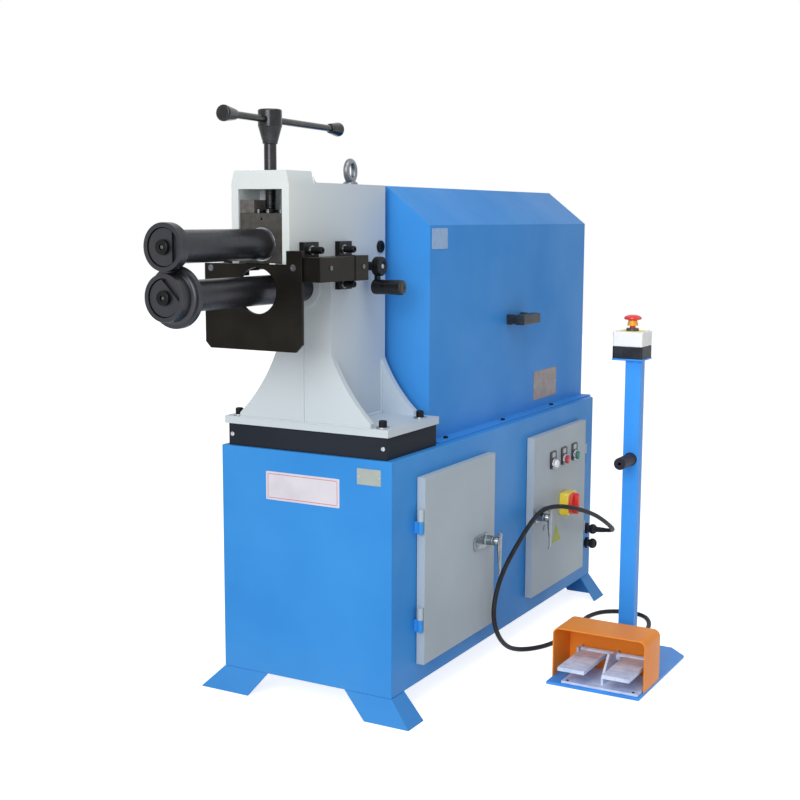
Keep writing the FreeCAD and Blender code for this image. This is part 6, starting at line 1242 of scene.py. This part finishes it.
# Emergency stop station: a black base with a round knock-out, a white lid held by four sunk
# screws, a yellow disc under the glossy collar, and the red mushroom on its yellow neck.
station_black = moulded("black_station_base", "1F232B", "2F343D", 0.42, shine=0.2)
base = slab(bmesh.new(), (480, 636, 770), (556, 712, 799), 2, corner=5, ease=0.8)
turned(base, at(518, 636, 784), FRONTWARD,
       [(-0.5, 8.2), (-0.5, 10.2), (0.5, 9.9), (0.5, 8.6)], 0.15, 64)
fit(base, "station_base_black", station_black, "machine", "black_box", "station_base")
station_white = moulded("white_station_lid", "FAFAFA", "F3F3F5", 0.36)
lid = slab(bmesh.new(), (480, 636, 799.3), (556, 712, 835), 2, corner=5, ease=1.4)
fit(lid, "station_lid_white", station_white, "machine", "white_lid", "station_lid")
set_out("station_lid_screws", pattern_of(pan_head(3.2, 0.7), "lid_screw"),
        [((x, y, 834.8), UPWARD) for x in (487, 549) for y in (643, 705)], zinc_plate, "machine",
        "bright_steel", seed=12)
stop_axis = at(518, 674, 0)
yellow_disc = moulded("yellow_stop_disc", "F8EE62", "FBF48A", 0.40, grain=0.6, relief=0.03)
disc = turned(bmesh.new(), stop_axis, UPWARD,
              [(834.8, 15), (834.8, 30), (835.7, 29.7), (835.7, 15)], 0.1, 96)
fit(disc, "stop_disc", yellow_disc, "machine", "white_lid")
collar_black = moulded("glossy_black_collar", "3A3D40", "5A5E62", 0.20, grain=2.0, relief=0.02)
collar = turned(bmesh.new(), stop_axis, UPWARD, [
    (835, 7.2), (835, 16), (838, 16), (839, 15.2), (842, 15.2), (843, 14.2), (843, 7.2)], 0.4, 72)
fit(collar, "stop_collar", collar_black, "machine", "black_box")
mushroom_red = moulded("red_mushroom_cap", "E8322E", "EC5A52", 0.26, grain=2.4, relief=0.02)
cap = turned(bmesh.new(), stop_axis, UPWARD, [
    (807, 0), (807, 7), (860, 7), (860, 10), (862, 12), (863.6, 20), (866, 21.5), (869, 20.8),
    (872.5, 16.2), (874.6, 9), (875, 0)], 0.8, 96)
fit(cap, "stop_mushroom", mushroom_red, "emergency_stop", "red_mushroom", "mushroom")
neck_yellow = moulded("yellow_stop_neck", "F7B51F", "F9C54A", 0.30, grain=2.0, relief=0.02)
neck = turned(bmesh.new(), stop_axis, UPWARD, [
    (848.6, 6.9), (848.6, 13), (852, 13), (860, 11), (862.4, 10.6), (862.4, 6.9)], 0.5, 72)
fit(neck, "stop_neck", neck_yellow, "emergency_stop", "red_mushroom")


# Pedal guard: a bent steel plate over the pedals, open in front, with a back wall, in orange enamel
orange_enamel = enamel("orange_enamel", "FF9C30", "FC9226", 0.44, 2.2, 0.12, soil=0.10, shine=0.3)
fit(eased("pedal_guard", 0.9, shortest=1.2), "pedal_guard_orange", orange_enamel, "machine",
    "orange_guard", "pedal_guard")

# Pedals: die-cast alloy plates with faint cross ribs and a round boss below, hinged at the back on
# a cast floor plate with a dividing fin and a pin. Their skin is dull: bluish grey, chalky with
# oxide, with darker blotches.
die_cast = steel("die_cast_alloy", "D8E6FF", "BECCEC", 0.55, 1.4, EVEN, 0.12,
                 relief=0.12, blot=22.0, shine=0.25)
fit(eased("pedal_casting", 0.9, shortest=3.0), "pedal_casting_alloy", die_cast, "machine",
    "pedal_alloy", "pedal_casting")
set_out("pedal_casting_screws", pattern_of(pan_head(3.4, 1.6), "casting_screw"),
        [((x, y, 14), UPWARD) for x in (466, 630) for y in (428, 510)], oiled_black_steel,
        "machine", "black_steel", seed=14)
tread = bmesh.new()
swept(tread, [Vector((-0.026 + 0.052 * k / 12, 0, 0)) for k in range(13)],
      [(0.0009 * (0.5 if k in (0, 12) else 1.0), 0.0003) for k in range(13)], REARWARD, sides=10)
tread_pattern = pattern_of(tread, "tread_rib")
for side, middle_x, pedal_body in (("left", 493, "left_pedal"), ("right", 603, "right_pedal")):
    fit(eased("pedal_" + side, 1.4, shortest=3.0), "pedal_" + side + "_plate", die_cast, pedal_body,
        "pedal_alloy", "pedal_" + side)
    set_out("pedal_" + side + "_ribs", tread_pattern,
            [((middle_x, y, 62), UPWARD, REARWARD) for y in (400, 424, 448, 472)],
            die_cast, pedal_body, "pedal_alloy")
